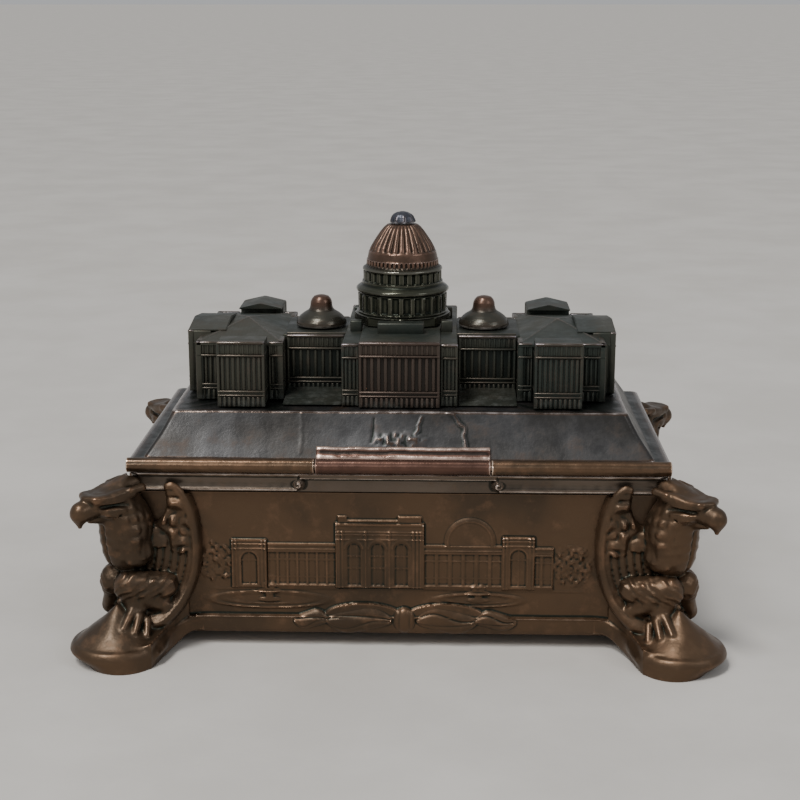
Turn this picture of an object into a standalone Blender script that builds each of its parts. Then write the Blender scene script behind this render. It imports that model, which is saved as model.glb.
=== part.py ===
"""Souvenir inkwell: a footed box with four corner eagles and a hinged lid that carries a domed building.

Metres, +Z up. The origin is on the table under the middle of the object. The hinge side faces -Y and
the opening side faces +Y. Every named object is one separate piece of the real thing.
"""
import math

import bmesh
import bpy
from mathutils import Matrix, Vector

GAP = 0.0003                  # clearance between pieces that touch
OVERRUN = 0.0010              # how far a cutting or joining shape passes the face that it meets
SOFT_EDGE = 0.0006            # chamfers on the glass and under the lid's plateau

# Box: outer faces of the four relief panels
PANEL_HALF_X = 0.0660
PANEL_HALF_Y = 0.0385
PANEL_WALL = 0.0025
PANEL_BOTTOM = 0.0040
PANEL_TOP = 0.0410
APRON_BOTTOM = 0.0038
APRON_TOP = 0.0083
APRON_PROUD = 0.0010
APRON_HALF_X = 0.0490
APRON_HALF_Y = 0.0215

# Rim frame on top of the panels, with a lip that carries the deck
RIM_BOTTOM = PANEL_TOP + GAP
RIM_STEP = 0.0463
RIM_TOP = 0.0477
RIM_OUTER = (0.0680, 0.0406)
RIM_SHOULDER = (0.0658, 0.0382)
RIM_OPENING = (0.0610, 0.0335)
RIM_LIP = (0.0585, 0.0310)
LIP_TOP = 0.0430

# Inner deck with two round openings and a sunken tray
DECK_BOTTOM = LIP_TOP + GAP
DECK_TOP = DECK_BOTTOM + 0.0015
WELL_X = 0.0340
DECK_HOLE_RADIUS = 0.0150
TRAY_HALF_X = 0.0120
TRAY_HALF_Y = 0.0240
TRAY_FLOOR = 0.0260
TRAY_WALL = 0.0012

# Glass wells
WELL_RADIUS = 0.0145
WELL_BORE = 0.0120
WELL_FLANGE = 0.0168
WELL_BOTTOM = 0.0140
WELL_FLOOR = 0.0180
WELL_TOP = 0.0472
WELL_FOOT_EDGE = 0.0010
WELL_FILLET = 0.0015

# Bottom plate, its screws and the bosses that they enter
PLATE_BOTTOM = 0.0046
PLATE_TOP = 0.0058
BOSS_HALF = 0.0032
BOSS_TOP = 0.0130
SCREW_SHANK = 0.0010
SCREW_HEAD = 0.0020
SCREW_HEAD_HEIGHT = 0.0011
BOTTOM_SCREW_LENGTH = 0.0060
SCREW_HOLE = SCREW_SHANK + GAP
SCREW_SITE = (0.0598, 0.0315)

# Hinge along the upper rear edge
HINGE_Y = -0.0405
HINGE_Z = 0.0485
KNUCKLE_RADIUS = 0.00185
KNUCKLE_BORE = 0.00095
PIN_RADIUS = 0.0006
PIN_SHY = 0.0005              # how far the pin stops short of each end
HINGE_HALF = 0.0678
CENTRE_KNUCKLE = (-0.0206, 0.0230)
LEAF_TOP = 0.0526
LEAF_THICKNESS = 0.0008
LEAF_INSET = 0.0008           # the leaf is a little shorter than its knuckle
LEAF_STANDOFF = 0.00035

# Lid: a hollow truncated pyramid with a narrow flange on three sides
LID_BOTTOM = RIM_TOP + GAP
LID_FLANGE_TOP = 0.0487
LID_FLANGE_X = 0.0682
LID_FLANGE_Y = 0.0405
LID_REAR = 0.0380
LID_FOOT = (0.0640, 0.0380, 0.0496)
PLATEAU = (0.0577, 0.0315, 0.0603)
LID_WALL = 0.0019
LID_CEILING = 0.0584
LID_COVE = 0.0004             # how far the plateau's edge overhangs the slope

# Building on the lid
BUILDING_BOTTOM = PLATEAU[2] + GAP
WING_INNER_X = 0.0302
WING_OUTER_X = 0.0528
WING_HALF_Y = 0.0210
WING_CENTRE_X = 0.0415
EAVE_Z = 0.0755
WING_APEX_Z = 0.0784
FRONT_BLOCK_X = (0.0341, 0.0463)
FRONT_Y = 0.0290
FRONT_TOP = 0.0776
PORTICO_X = 0.0562
PORTICO_HALF_Y = 0.0120
PORTICO_TOP = 0.0771
LINK_HALF_Y = 0.0130
LINK_TOP = 0.0762
NARROW_X = 0.0148
NARROW_Y = 0.0270
NARROW_TOP = 0.0768
CENTRE_HALF_X = 0.0103
CENTRE_TOP = 0.0776
PEDIMENT_PEAK = 0.0790
PEDIMENT_DEPTH = 0.0130
CENTRE_PEDIMENT_DEPTH = 0.0110
GABLE_ROOT = 0.0020           # how far a gable reaches down into its block
BUILDING_CEILING = 0.0735
BUILDING_WALL = 0.0023
BUILDING_SCREW_X = 0.0225
BUILDING_SCREW_LENGTH = 0.0090
BUILDING_BOSS = 0.0030
BUILDING_BOSS_TOP = 0.0725

# Dome and the two small cupolas: radius and height pairs, from the bottom up
DOME_BASE = CENTRE_TOP + GAP
DOME_PROFILE = (
    (0.0130, DOME_BASE), (0.0130, 0.0800), (0.0121, 0.0804), (0.0118, 0.0860), (0.0123, 0.0864),
    (0.0121, 0.0870), (0.0106, 0.0882), (0.0104, 0.0913), (0.0102, 0.0920), (0.0095, 0.0924),
    (0.0093, 0.0940), (0.0088, 0.0961), (0.0081, 0.0985), (0.0065, 0.1012), (0.0035, 0.1038),
)
FINIAL_PROFILE = ((0.0034, 0.1041), (0.0030, 0.1056), (0.0016, 0.1067), (0.0006, 0.1070))
CUPOLA_X = 0.0218
CUPOLA_PROFILE = (
    (0.0066, LINK_TOP + GAP), (0.0060, 0.0776), (0.0046, 0.0794), (0.0033, 0.0808),
    (0.0031, 0.0822), (0.0027, 0.0838), (0.0014, 0.0846),
)

# Corner castings, in the quadrant of +X and +Y: foot, bird and wings
FOOT_CENTRE = (0.0690, 0.0460)
FOOT_RADIUS = 0.0135
FOOT_RINGS = ((-0.0035, 0.0), (0.0, 0.0026), (0.0, 0.0056), (-0.0025, 0.0076))  # growth and height
FOOT_REACH = 0.0140           # how far the foot runs along each panel
FOOT_FLARE = (0.0018, 0.0085, 0.0140)
FOOT_FLARE_INSET = 0.0040
BODY_OUT = 0.0035             # distances along the diagonal from the corner of the box
BODY = (0.0265, 0.0078, 0.0140)   # centre height, radius across and half height of each rounded part
LEG_OUT = 0.0075
LEGS = (0.0175, 0.0056, 0.0080)
HEAD_OUT = 0.0075
HEAD = (0.0384, 0.0052, 0.0075)
BEAK_OUT = 0.0180
BEAK_ROOT_OUT = 0.0095
BEAK_ROOT_Z = 0.0402
BEAK_ROOT_RADIUS = 0.0028
BEAK_TIP_Z = 0.0392
BEAK_HOOK_Z = 0.0366
BEAK_RIDGE_Z = 0.0412
# Outline of a wing along its panel: X, distance out from the panel, height
WING_FLAT = (
    (0.0576, 0.0434), (0.0495, 0.0266), (0.0505, 0.0200), (0.0539, 0.0141), (0.0617, 0.0050),
    (0.0690, 0.0100), (0.0690, 0.0410),
)
WING_FACE = (
    (0.0576, 0.0040, 0.0430), (0.0515, 0.0028, 0.0266), (0.0545, 0.0030, 0.0150),
    (0.0630, 0.0070, 0.0110), (0.0655, 0.0075, 0.0300), (0.0640, 0.0060, 0.0390),
)

PAINTS = {
    "bronze_base": ((0.17, 0.095, 0.05), 0.42, 0.85),
    "bronze_dark": ((0.06, 0.065, 0.055), 0.48, 0.75),
    "bronze_lid": ((0.11, 0.10, 0.095), 0.40, 0.80),
    "copper": ((0.30, 0.12, 0.06), 0.38, 0.90),
    "steel": ((0.45, 0.44, 0.42), 0.40, 0.95),
    "plate": ((0.30, 0.25, 0.15), 0.45, 0.90),
    "glass": ((0.80, 0.88, 0.86), 0.06, 0.00),
    "pewter": ((0.09, 0.10, 0.12), 0.35, 0.85),
}


def clear_scene():
    for obj in list(bpy.data.objects):
        bpy.data.objects.remove(obj)


def paint(name):
    """The Principled material of that name, made the first time it is asked for."""
    if name in bpy.data.materials:
        return bpy.data.materials[name]
    colour, roughness, metallic = PAINTS[name]
    material = bpy.data.materials.new(name)
    material.use_nodes = True
    shader = material.node_tree.nodes["Principled BSDF"]
    shader.inputs["Base Color"].default_value = (*colour, 1.0)
    shader.inputs["Roughness"].default_value = roughness
    shader.inputs["Metallic"].default_value = metallic
    return material


def finish_mesh(bm, name, smooth_deg):
    """Turn the bmesh into a mesh with outward faces, smooth below the given angle."""
    bmesh.ops.recalc_face_normals(bm, faces=bm.faces)
    mesh = bpy.data.meshes.new(name)
    bm.to_mesh(mesh)
    bm.free()
    if smooth_deg:
        mesh.shade_smooth()
        mesh.set_sharp_from_angle(angle=math.radians(smooth_deg))
    return mesh


def add_object(name, mesh, material, origin=(0.0, 0.0, 0.0)):
    """Link a named object whose mesh is given in world space, with its origin at the given point."""
    mesh.transform(Matrix.Translation(-Vector(origin)))
    mesh.materials.clear()
    mesh.materials.append(paint(material))
    obj = bpy.data.objects.new(name, mesh)
    obj.location = origin
    bpy.context.scene.collection.objects.link(obj)
    return obj


def box_mesh(low, high):
    bm = bmesh.new()
    size = [b - a for a, b in zip(low, high)]
    middle = [(a + b) / 2 for a, b in zip(low, high)]
    bmesh.ops.create_cube(bm, size=1.0, matrix=Matrix.Translation(middle) @ Matrix.Diagonal((*size, 1.0)))
    return finish_mesh(bm, "box", 0)


def hull_mesh(points):
    bm = bmesh.new()
    verts = [bm.verts.new(p) for p in points]
    result = bmesh.ops.convex_hull(bm, input=verts)
    spare = [v for v in result["geom_interior"] + result["geom_unused"] if isinstance(v, bmesh.types.BMVert)]
    bmesh.ops.delete(bm, geom=list(set(spare)), context="VERTS")
    return finish_mesh(bm, "hull", 0)


def ellipsoid_mesh(centre, radii, segments=14, rings=9):
    bm = bmesh.new()
    place = Matrix.Translation(centre) @ Matrix.Diagonal((*radii, 1.0))
    bmesh.ops.create_uvsphere(bm, u_segments=segments, v_segments=rings, radius=1.0, matrix=place)
    return finish_mesh(bm, "ellipsoid", 0)


def circle(centre, radius, z, count=24):
    return [
        (centre[0] + radius * math.cos(2 * math.pi * i / count),
         centre[1] + radius * math.sin(2 * math.pi * i / count), z)
        for i in range(count)
    ]


def cylinder_mesh(centre, radius, z_low, z_high, count=24):
    return hull_mesh(circle(centre, radius, z_low, count) + circle(centre, radius, z_high, count))


def loop_mesh(loops, closed):
    """Skin a stack of loops of equal length; closed joins the last loop to the first, as in a ring."""
    bm = bmesh.new()
    rows = [[bm.verts.new(p) for p in loop] for loop in loops]
    count = len(rows[0])
    pairs = list(zip(rows, rows[1:]))
    if closed:
        pairs.append((rows[-1], rows[0]))
    for low, high in pairs:
        for i in range(count):
            j = (i + 1) % count
            bm.faces.new((low[i], low[j], high[j], high[i]))
    if not closed:
        bm.faces.new(list(reversed(rows[0])))
        bm.faces.new(rows[-1])
    return bm


def rectangle(half_x, y_low, y_high, z):
    return [(-half_x, y_low, z), (half_x, y_low, z), (half_x, y_high, z), (-half_x, y_high, z)]


def turned_mesh(profile, centre=(0.0, 0.0), count=32, smooth_deg=35):
    """A turned solid about a vertical axis, closed flat at both ends."""
    bm = loop_mesh([circle(centre, radius, z, count) for radius, z in profile], closed=False)
    return finish_mesh(bm, "turned", smooth_deg)


def tube_mesh(x_low, x_high, outer, inner, count=20):
    """A tube along X round the hinge axis."""
    def ring(x, radius):
        return [
            (x, HINGE_Y + radius * math.cos(2 * math.pi * i / count),
             HINGE_Z + radius * math.sin(2 * math.pi * i / count))
            for i in range(count)
        ]
    loops = [ring(x_low, outer), ring(x_high, outer), ring(x_high, inner), ring(x_low, inner)]
    return finish_mesh(loop_mesh(loops, closed=True), "tube", 35)


def combine(start, steps, name):
    """Boolean a mesh with a list of (operation, mesh) steps and return the resulting mesh."""
    target = bpy.data.objects.new(name, start)
    bpy.context.scene.collection.objects.link(target)
    tools = []
    for operation, mesh in steps:
        tool = bpy.data.objects.new(name + "_tool", mesh)
        tool.hide_render = True
        tool.display_type = "WIRE"
        bpy.context.scene.collection.objects.link(tool)
        tools.append(tool)
        modifier = target.modifiers.new("cut", "BOOLEAN")
        modifier.operation = operation
        modifier.solver = "EXACT"
        modifier.object = tool
    depsgraph = bpy.context.evaluated_depsgraph_get()
    mesh = bpy.data.meshes.new_from_object(target.evaluated_get(depsgraph))
    for obj in [target, *tools]:
        bpy.data.objects.remove(obj)
    bm = bmesh.new()
    bm.from_mesh(mesh)
    bmesh.ops.remove_doubles(bm, verts=bm.verts, dist=0.000002)
    bmesh.ops.dissolve_degenerate(bm, edges=bm.edges, dist=0.000002)
    bmesh.ops.triangulate(bm, faces=bm.faces)
    bpy.data.meshes.remove(mesh)
    return finish_mesh(bm, name, 40)


def mirrored(mesh, sign_x, sign_y):
    """A copy of the mesh mirrored into another quadrant, faces still pointing out."""
    copy = mesh.copy()
    copy.transform(Matrix.Diagonal((sign_x, sign_y, 1.0, 1.0)))
    if sign_x * sign_y < 0:
        copy.flip_normals()
    return copy


def long_panel(name, side):
    """Rear (side -1) or front (side +1) relief panel with its thicker apron band."""
    plate = box_mesh(
        (-PANEL_HALF_X, PANEL_HALF_Y - PANEL_WALL, PANEL_BOTTOM), (PANEL_HALF_X, PANEL_HALF_Y, PANEL_TOP))
    apron = box_mesh(
        (-APRON_HALF_X, PANEL_HALF_Y - PANEL_WALL / 2, APRON_BOTTOM),
        (APRON_HALF_X, PANEL_HALF_Y + APRON_PROUD, APRON_TOP))
    add_object(name, mirrored(combine(plate, [("UNION", apron)], name), 1, side), "bronze_base")


def side_panel(name, side):
    """Left (side -1) or right (side +1) panel, between the long ones, with two screw bosses inside."""
    end = PANEL_HALF_Y - PANEL_WALL - GAP
    plate = box_mesh((PANEL_HALF_X - PANEL_WALL, -end, PANEL_BOTTOM), (PANEL_HALF_X, end, PANEL_TOP))
    steps = [("UNION", box_mesh(
        (PANEL_HALF_X - PANEL_WALL / 2, -APRON_HALF_Y, APRON_BOTTOM),
        (PANEL_HALF_X + APRON_PROUD, APRON_HALF_Y, APRON_TOP)))]
    for sign in (-1, 1):
        site = (SCREW_SITE[0], sign * SCREW_SITE[1])
        steps.append(("UNION", box_mesh(
            (site[0] - BOSS_HALF, site[1] - BOSS_HALF, PLATE_TOP + GAP),
            (PANEL_HALF_X - PANEL_WALL / 2, site[1] + BOSS_HALF, BOSS_TOP))))
        steps.append(("DIFFERENCE", cylinder_mesh(site, SCREW_HOLE, 0.0, BOSS_TOP - OVERRUN, 16)))
    add_object(name, mirrored(combine(plate, steps, name), side, 1), "bronze_base")


def rim_frame():
    profile = (
        (RIM_OUTER, RIM_BOTTOM), (RIM_OUTER, RIM_STEP), (RIM_SHOULDER, RIM_STEP), (RIM_SHOULDER, RIM_TOP),
        (RIM_OPENING, RIM_TOP), (RIM_OPENING, LIP_TOP), (RIM_LIP, LIP_TOP), (RIM_LIP, RIM_BOTTOM),
    )
    loops = [rectangle(half[0], -half[1], half[1], z) for half, z in profile]
    add_object("rim_frame", finish_mesh(loop_mesh(loops, closed=True), "rim_frame", 0), "bronze_base")


def inner_deck():
    half_x = RIM_OPENING[0] - GAP
    half_y = RIM_OPENING[1] - GAP
    plate = box_mesh((-half_x, -half_y, DECK_BOTTOM), (half_x, half_y, DECK_TOP))
    outer_x = TRAY_HALF_X + TRAY_WALL
    outer_y = TRAY_HALF_Y + TRAY_WALL
    steps = [
        ("UNION", box_mesh(
            (-outer_x, -outer_y, TRAY_FLOOR - TRAY_WALL), (outer_x, outer_y, DECK_TOP - GAP / 2))),
        ("DIFFERENCE", box_mesh(
            (-TRAY_HALF_X, -TRAY_HALF_Y, TRAY_FLOOR), (TRAY_HALF_X, TRAY_HALF_Y, WELL_TOP))),
    ]
    for x in (-WELL_X, WELL_X):
        hole = cylinder_mesh((x, 0.0), DECK_HOLE_RADIUS, LIP_TOP - OVERRUN, DECK_TOP + OVERRUN, 40)
        steps.append(("DIFFERENCE", hole))
    add_object("inner_deck", combine(plate, steps, "inner_deck"), "plate")


def glass_well(name, x):
    below_top = WELL_TOP - SOFT_EDGE
    profile = (
        (WELL_RADIUS - WELL_FOOT_EDGE, WELL_BOTTOM), (WELL_RADIUS, WELL_BOTTOM + WELL_FOOT_EDGE),
        (WELL_RADIUS, DECK_TOP + GAP), (WELL_FLANGE, DECK_TOP + GAP), (WELL_FLANGE, below_top),
        (WELL_FLANGE - SOFT_EDGE, WELL_TOP), (WELL_BORE + SOFT_EDGE, WELL_TOP), (WELL_BORE, below_top),
        (WELL_BORE, WELL_FLOOR + WELL_FILLET), (WELL_BORE - WELL_FILLET, WELL_FLOOR),
    )
    mesh = turned_mesh(profile, (x, 0.0), 40)
    add_object(name, mesh, "glass", (x, 0.0, WELL_BOTTOM))


def bottom_plate():
    half_x = PANEL_HALF_X - PANEL_WALL - GAP
    half_y = PANEL_HALF_Y - PANEL_WALL - GAP
    plate = box_mesh((-half_x, -half_y, PLATE_BOTTOM), (half_x, half_y, PLATE_TOP))
    steps = []
    for sign_x in (-1, 1):
        for sign_y in (-1, 1):
            site = (sign_x * SCREW_SITE[0], sign_y * SCREW_SITE[1])
            steps.append(("DIFFERENCE", cylinder_mesh(site, SCREW_HOLE, 0.0, PLATE_TOP + OVERRUN, 16)))
    add_object("bottom_plate", combine(plate, steps, "bottom_plate"), "plate")


def screw(name, site, z_seat, length):
    """A round-headed screw, driven upward, whose head bears on z_seat."""
    profile = [
        (SCREW_HEAD * 0.6, z_seat - (SCREW_HEAD_HEIGHT + GAP)),
        (SCREW_HEAD, z_seat - (SCREW_HEAD_HEIGHT * 0.6 + GAP)),
        (SCREW_HEAD, z_seat - GAP),
        (SCREW_SHANK, z_seat - GAP),
        (SCREW_SHANK, z_seat + length - SCREW_SHANK),
        (SCREW_SHANK * 0.3, z_seat + length),
    ]
    add_object(name, turned_mesh(profile, site, 16), "steel", (*site, z_seat))


def corner_casting_mesh():
    """Foot, eagle and folded wings of the corner in the quadrant of +X and +Y."""
    corner = Vector((PANEL_HALF_X, PANEL_HALF_Y, 0.0))
    diagonal = Vector((1.0, 1.0, 0.0)).normalized()
    skew = PANEL_HALF_X - PANEL_HALF_Y

    def out(distance, z):
        return corner + diagonal * distance + Vector((0.0, 0.0, z))

    def swap(point):
        """The same point mirrored across the corner's diagonal."""
        return (point[1] + skew, point[0] - skew, point[2])

    def rounded(distance, shape):
        height, radius, half_height = shape
        return ellipsoid_mesh(out(distance, height), (radius, radius, half_height))

    wall = PANEL_HALF_Y
    reach = PANEL_HALF_X - FOOT_REACH
    flare_low, flare_high, flare_top = FOOT_FLARE
    foot_wall = [(reach, wall, flare_low), (reach, wall, flare_high),
                 (PANEL_HALF_X - FOOT_FLARE_INSET, wall, flare_top)]
    foot = foot_wall + [swap(p) for p in foot_wall]
    for growth, z in FOOT_RINGS:
        foot += circle(FOOT_CENTRE, FOOT_RADIUS + growth, z)
    wing = [(x, wall, z) for x, z in WING_FLAT] + [(x, wall + n, z) for x, n, z in WING_FACE]
    beak_root = out(BEAK_ROOT_OUT, BEAK_ROOT_Z)
    beak = [beak_root + Vector(offset) * BEAK_ROOT_RADIUS for offset in (
        (1, 0, 0), (-1, 0, 0), (0, 1, 0), (0, -1, 0), (0, 0, 1), (0, 0, -1))]
    beak += [out(BEAK_OUT, BEAK_TIP_Z), out(BEAK_OUT - OVERRUN, BEAK_HOOK_Z),
             out(BEAK_OUT - 2 * OVERRUN, BEAK_RIDGE_Z)]
    box_corner = (PANEL_HALF_X + GAP, PANEL_HALF_Y + GAP, LID_BOTTOM)
    rim_corner = (RIM_OUTER[0] + GAP, RIM_OUTER[1] + GAP, LID_BOTTOM)
    steps = [
        ("UNION", hull_mesh(wing)),
        ("UNION", hull_mesh([swap(p) for p in wing])),
        ("UNION", rounded(BODY_OUT, BODY)),
        ("UNION", rounded(LEG_OUT, LEGS)),
        ("UNION", rounded(HEAD_OUT, HEAD)),
        ("UNION", hull_mesh(beak)),
        ("DIFFERENCE", box_mesh((0.0, 0.0, -OVERRUN), box_corner)),
        ("DIFFERENCE", box_mesh((0.0, 0.0, RIM_BOTTOM - GAP), rim_corner)),
    ]
    return combine(hull_mesh(foot), steps, "corner")


def corner_castings():
    mesh = corner_casting_mesh()
    for end, sign_y in (("rear", -1), ("front", 1)):
        for side, sign_x in (("left", -1), ("right", 1)):
            add_object(f"corner_eagle_{end}_{side}", mirrored(mesh, sign_x, sign_y), "bronze_base")


def hinge():
    centre_low, centre_high = CENTRE_KNUCKLE
    axis = (0.0, HINGE_Y, HINGE_Z)
    for name, low, high in (
        ("hinge_knuckle_left", -HINGE_HALF, centre_low - GAP),
        ("hinge_knuckle_right", centre_high + GAP, HINGE_HALF),
    ):
        add_object(name, tube_mesh(low, high, KNUCKLE_RADIUS, KNUCKLE_BORE), "bronze_base", axis)
    pin_half = HINGE_HALF - PIN_SHY
    rings = [
        [(x, HINGE_Y + PIN_RADIUS * math.cos(a), HINGE_Z + PIN_RADIUS * math.sin(a))
         for a in (2 * math.pi * i / 12 for i in range(12))]
        for x in (-pin_half, pin_half)
    ]
    pin = finish_mesh(loop_mesh(rings, closed=False), "hinge_pin", 35)
    add_object("hinge_pin", pin, "steel", axis)

    slope = (LID_FOOT[1] - PLATEAU[1]) / (PLATEAU[2] - LID_FOOT[2])
    leaf = []
    for x in (centre_low + LEAF_INSET, centre_high - LEAF_INSET):
        for z in (HINGE_Z + KNUCKLE_RADIUS * 0.5, LEAF_TOP):
            rise = max(z - LID_FOOT[2], 0.0)
            face = -(LID_FOOT[1] + LEAF_STANDOFF) + slope * rise
            leaf += [(x, face, z), (x, face - LEAF_THICKNESS, z)]
    tube = tube_mesh(centre_low, centre_high, KNUCKLE_RADIUS, KNUCKLE_BORE)
    mesh = combine(tube, [("UNION", hull_mesh(leaf))], "lid_hinge_leaf")
    add_object("lid_hinge_leaf", mesh, "copper", axis)


def lid_shell():
    foot_x, foot_y, foot_z = LID_FOOT
    top_x, top_y, top_z = PLATEAU
    outer = [
        rectangle(LID_FLANGE_X, -LID_REAR, LID_FLANGE_Y, LID_BOTTOM),
        rectangle(LID_FLANGE_X, -LID_REAR, LID_FLANGE_Y, LID_FLANGE_TOP),
        rectangle(foot_x, -foot_y, foot_y, foot_z),
        rectangle(top_x + LID_COVE, -top_y - LID_COVE, top_y + LID_COVE, top_z - SOFT_EDGE),
        rectangle(top_x, -top_y, top_y, top_z),
    ]
    inner = [
        rectangle(foot_x - LID_WALL, -foot_y + LID_WALL, foot_y - LID_WALL, LID_BOTTOM),
        rectangle(foot_x - LID_WALL, -foot_y + LID_WALL, foot_y - LID_WALL, foot_z - LID_COVE),
        rectangle(top_x - LID_WALL, -top_y + LID_WALL, top_y - LID_WALL, LID_CEILING),
    ]
    mesh = finish_mesh(loop_mesh(list(reversed(inner)) + outer, closed=False), "lid_shell", 0)
    steps = [
        ("DIFFERENCE", cylinder_mesh((x, 0.0), SCREW_HOLE, LID_CEILING - OVERRUN, top_z + OVERRUN, 16))
        for x in (-BUILDING_SCREW_X, BUILDING_SCREW_X)
    ]
    add_object("lid_shell", combine(mesh, steps, "lid_shell"), "bronze_lid", (0.0, HINGE_Y, HINGE_Z))


def block(x_low, x_high, half_y, top):
    """A block of the building from the plateau up, as deep to the rear as to the front."""
    return box_mesh((x_low, -half_y, BUILDING_BOTTOM), (x_high, half_y, top))


def gable(centre_x, half_x, y_low, y_high, eave, peak):
    return hull_mesh([
        (x, y, z) for y in (y_low, y_high)
        for x, z in (
            (centre_x - half_x, eave - GABLE_ROOT), (centre_x - half_x, eave), (centre_x + half_x, eave),
            (centre_x + half_x, eave - GABLE_ROOT), (centre_x, peak))
    ])


def building():
    wall = BUILDING_WALL
    steps = []
    cuts = []
    for sign in (-1, 1):
        inner, outer = sorted((sign * WING_INNER_X, sign * WING_OUTER_X))
        steps.append(block(inner, outer, WING_HALF_Y, EAVE_Z))
        corners = [(x, y, z) for x in (inner, outer) for y in (-WING_HALF_Y, WING_HALF_Y)
                   for z in (EAVE_Z - OVERRUN, EAVE_Z)]
        steps.append(hull_mesh(corners + [(sign * WING_CENTRE_X, 0.0, WING_APEX_Z)]))
        steps.append(block(*sorted((sign * FRONT_BLOCK_X[0], sign * FRONT_BLOCK_X[1])), FRONT_Y, FRONT_TOP))
        middle = sum(FRONT_BLOCK_X) / 2
        half = (FRONT_BLOCK_X[1] - FRONT_BLOCK_X[0]) / 2
        steps.append(gable(sign * middle, half, FRONT_Y - PEDIMENT_DEPTH, FRONT_Y, FRONT_TOP, PEDIMENT_PEAK))
        steps.append(block(*sorted((sign * WING_OUTER_X - sign * wall, sign * PORTICO_X)),
                           PORTICO_HALF_Y, PORTICO_TOP))
        steps.append(block(*sorted((sign * (WING_INNER_X + wall), 0.0)), LINK_HALF_Y, LINK_TOP))
        steps.append(block(*sorted((sign * NARROW_X, 0.0)), NARROW_Y, NARROW_TOP))
        cuts.append(box_mesh(
            (min(sign * (WING_INNER_X + wall), sign * (WING_OUTER_X - wall)), -WING_HALF_Y + wall, 0.0),
            (max(sign * (WING_INNER_X + wall), sign * (WING_OUTER_X - wall)), WING_HALF_Y - wall,
             BUILDING_CEILING)))
    steps.append(block(-CENTRE_HALF_X, CENTRE_HALF_X, FRONT_Y, CENTRE_TOP))
    steps.append(gable(
        0.0, CENTRE_HALF_X, FRONT_Y - CENTRE_PEDIMENT_DEPTH, FRONT_Y, CENTRE_TOP, PEDIMENT_PEAK))
    link = LINK_HALF_Y - wall
    cuts.append(box_mesh((-WING_CENTRE_X, -link, 0.0), (WING_CENTRE_X, link, BUILDING_CEILING)))
    cuts.append(box_mesh((-NARROW_X + wall, -NARROW_Y + wall, 0.0),
                         (NARROW_X - wall, NARROW_Y - wall, BUILDING_CEILING)))
    operations = [("UNION", mesh) for mesh in steps[1:]] + [("DIFFERENCE", mesh) for mesh in cuts]
    for x in (-BUILDING_SCREW_X, BUILDING_SCREW_X):
        boss = cylinder_mesh((x, 0.0), BUILDING_BOSS, BUILDING_BOTTOM, BUILDING_CEILING + OVERRUN)
        hole = cylinder_mesh(
            (x, 0.0), SCREW_HOLE, BUILDING_BOTTOM - OVERRUN, BUILDING_BOSS_TOP - 2 * OVERRUN, 16)
        operations += [("UNION", boss), ("DIFFERENCE", hole)]
    mesh = combine(steps[0], operations, "building")
    add_object("building", mesh, "bronze_dark", (0.0, HINGE_Y, HINGE_Z))


def dome_and_cupolas():
    add_object("dome", turned_mesh(DOME_PROFILE, count=40), "bronze_dark", (0.0, 0.0, DOME_BASE))
    add_object("dome_cap", turned_mesh(FINIAL_PROFILE, count=24), "pewter", (0.0, 0.0, FINIAL_PROFILE[0][1]))
    for name, x in (("cupola_left", -CUPOLA_X), ("cupola_right", CUPOLA_X)):
        mesh = turned_mesh(CUPOLA_PROFILE, (x, 0.0), 28)
        add_object(name, mesh, "bronze_dark", (x, 0.0, LINK_TOP + GAP))


def build():
    clear_scene()
    long_panel("panel_rear", -1)
    long_panel("panel_front", 1)
    side_panel("panel_left", -1)
    side_panel("panel_right", 1)
    corner_castings()
    rim_frame()
    inner_deck()
    bottom_plate()
    for end, sign_y in (("rear", -1), ("front", 1)):
        for side, sign_x in (("left", -1), ("right", 1)):
            site = (sign_x * SCREW_SITE[0], sign_y * SCREW_SITE[1])
            screw(f"bottom_screw_{end}_{side}", site, PLATE_BOTTOM, BOTTOM_SCREW_LENGTH)
    glass_well("glass_well_left", -WELL_X)
    glass_well("glass_well_right", WELL_X)
    hinge()
    lid_shell()
    building()
    for name, x in (("building_screw_left", -BUILDING_SCREW_X), ("building_screw_right", BUILDING_SCREW_X)):
        screw(name, (x, 0.0), LID_CEILING, BUILDING_SCREW_LENGTH)
    dome_and_cupolas()


build()
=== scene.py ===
"""Visual model of a bronzed inkwell with corner eagles and a lid that carries a domed building.

Lengths are millimetres inside the shape functions and become metres where a mesh is made. Every mesh
is written in the frame's own coordinates, +Z up, with the hinge side facing -Y.
"""
import math

import bmesh
import bpy
import numpy as np
from mathutils import Matrix, Vector


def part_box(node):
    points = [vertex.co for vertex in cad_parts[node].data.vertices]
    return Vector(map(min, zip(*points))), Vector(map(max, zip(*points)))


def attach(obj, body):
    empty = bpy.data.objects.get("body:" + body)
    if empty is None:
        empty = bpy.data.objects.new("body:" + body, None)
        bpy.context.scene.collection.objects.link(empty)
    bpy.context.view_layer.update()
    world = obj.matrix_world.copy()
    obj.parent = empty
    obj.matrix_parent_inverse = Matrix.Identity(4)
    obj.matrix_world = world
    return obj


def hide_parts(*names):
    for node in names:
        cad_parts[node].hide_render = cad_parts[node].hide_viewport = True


MM = 0.001
GAP = 0.3

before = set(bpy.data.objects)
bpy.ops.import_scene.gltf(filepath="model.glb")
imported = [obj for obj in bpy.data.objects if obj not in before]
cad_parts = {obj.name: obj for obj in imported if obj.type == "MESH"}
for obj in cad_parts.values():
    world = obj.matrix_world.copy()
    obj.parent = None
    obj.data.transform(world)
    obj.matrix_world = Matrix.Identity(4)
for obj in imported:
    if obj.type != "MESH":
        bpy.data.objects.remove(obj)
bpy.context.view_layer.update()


def node_box(name):
    """Lowest and highest corner of a CAD node in millimetres."""
    low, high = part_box(name)
    return [v / MM for v in low], [v / MM for v in high]


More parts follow.
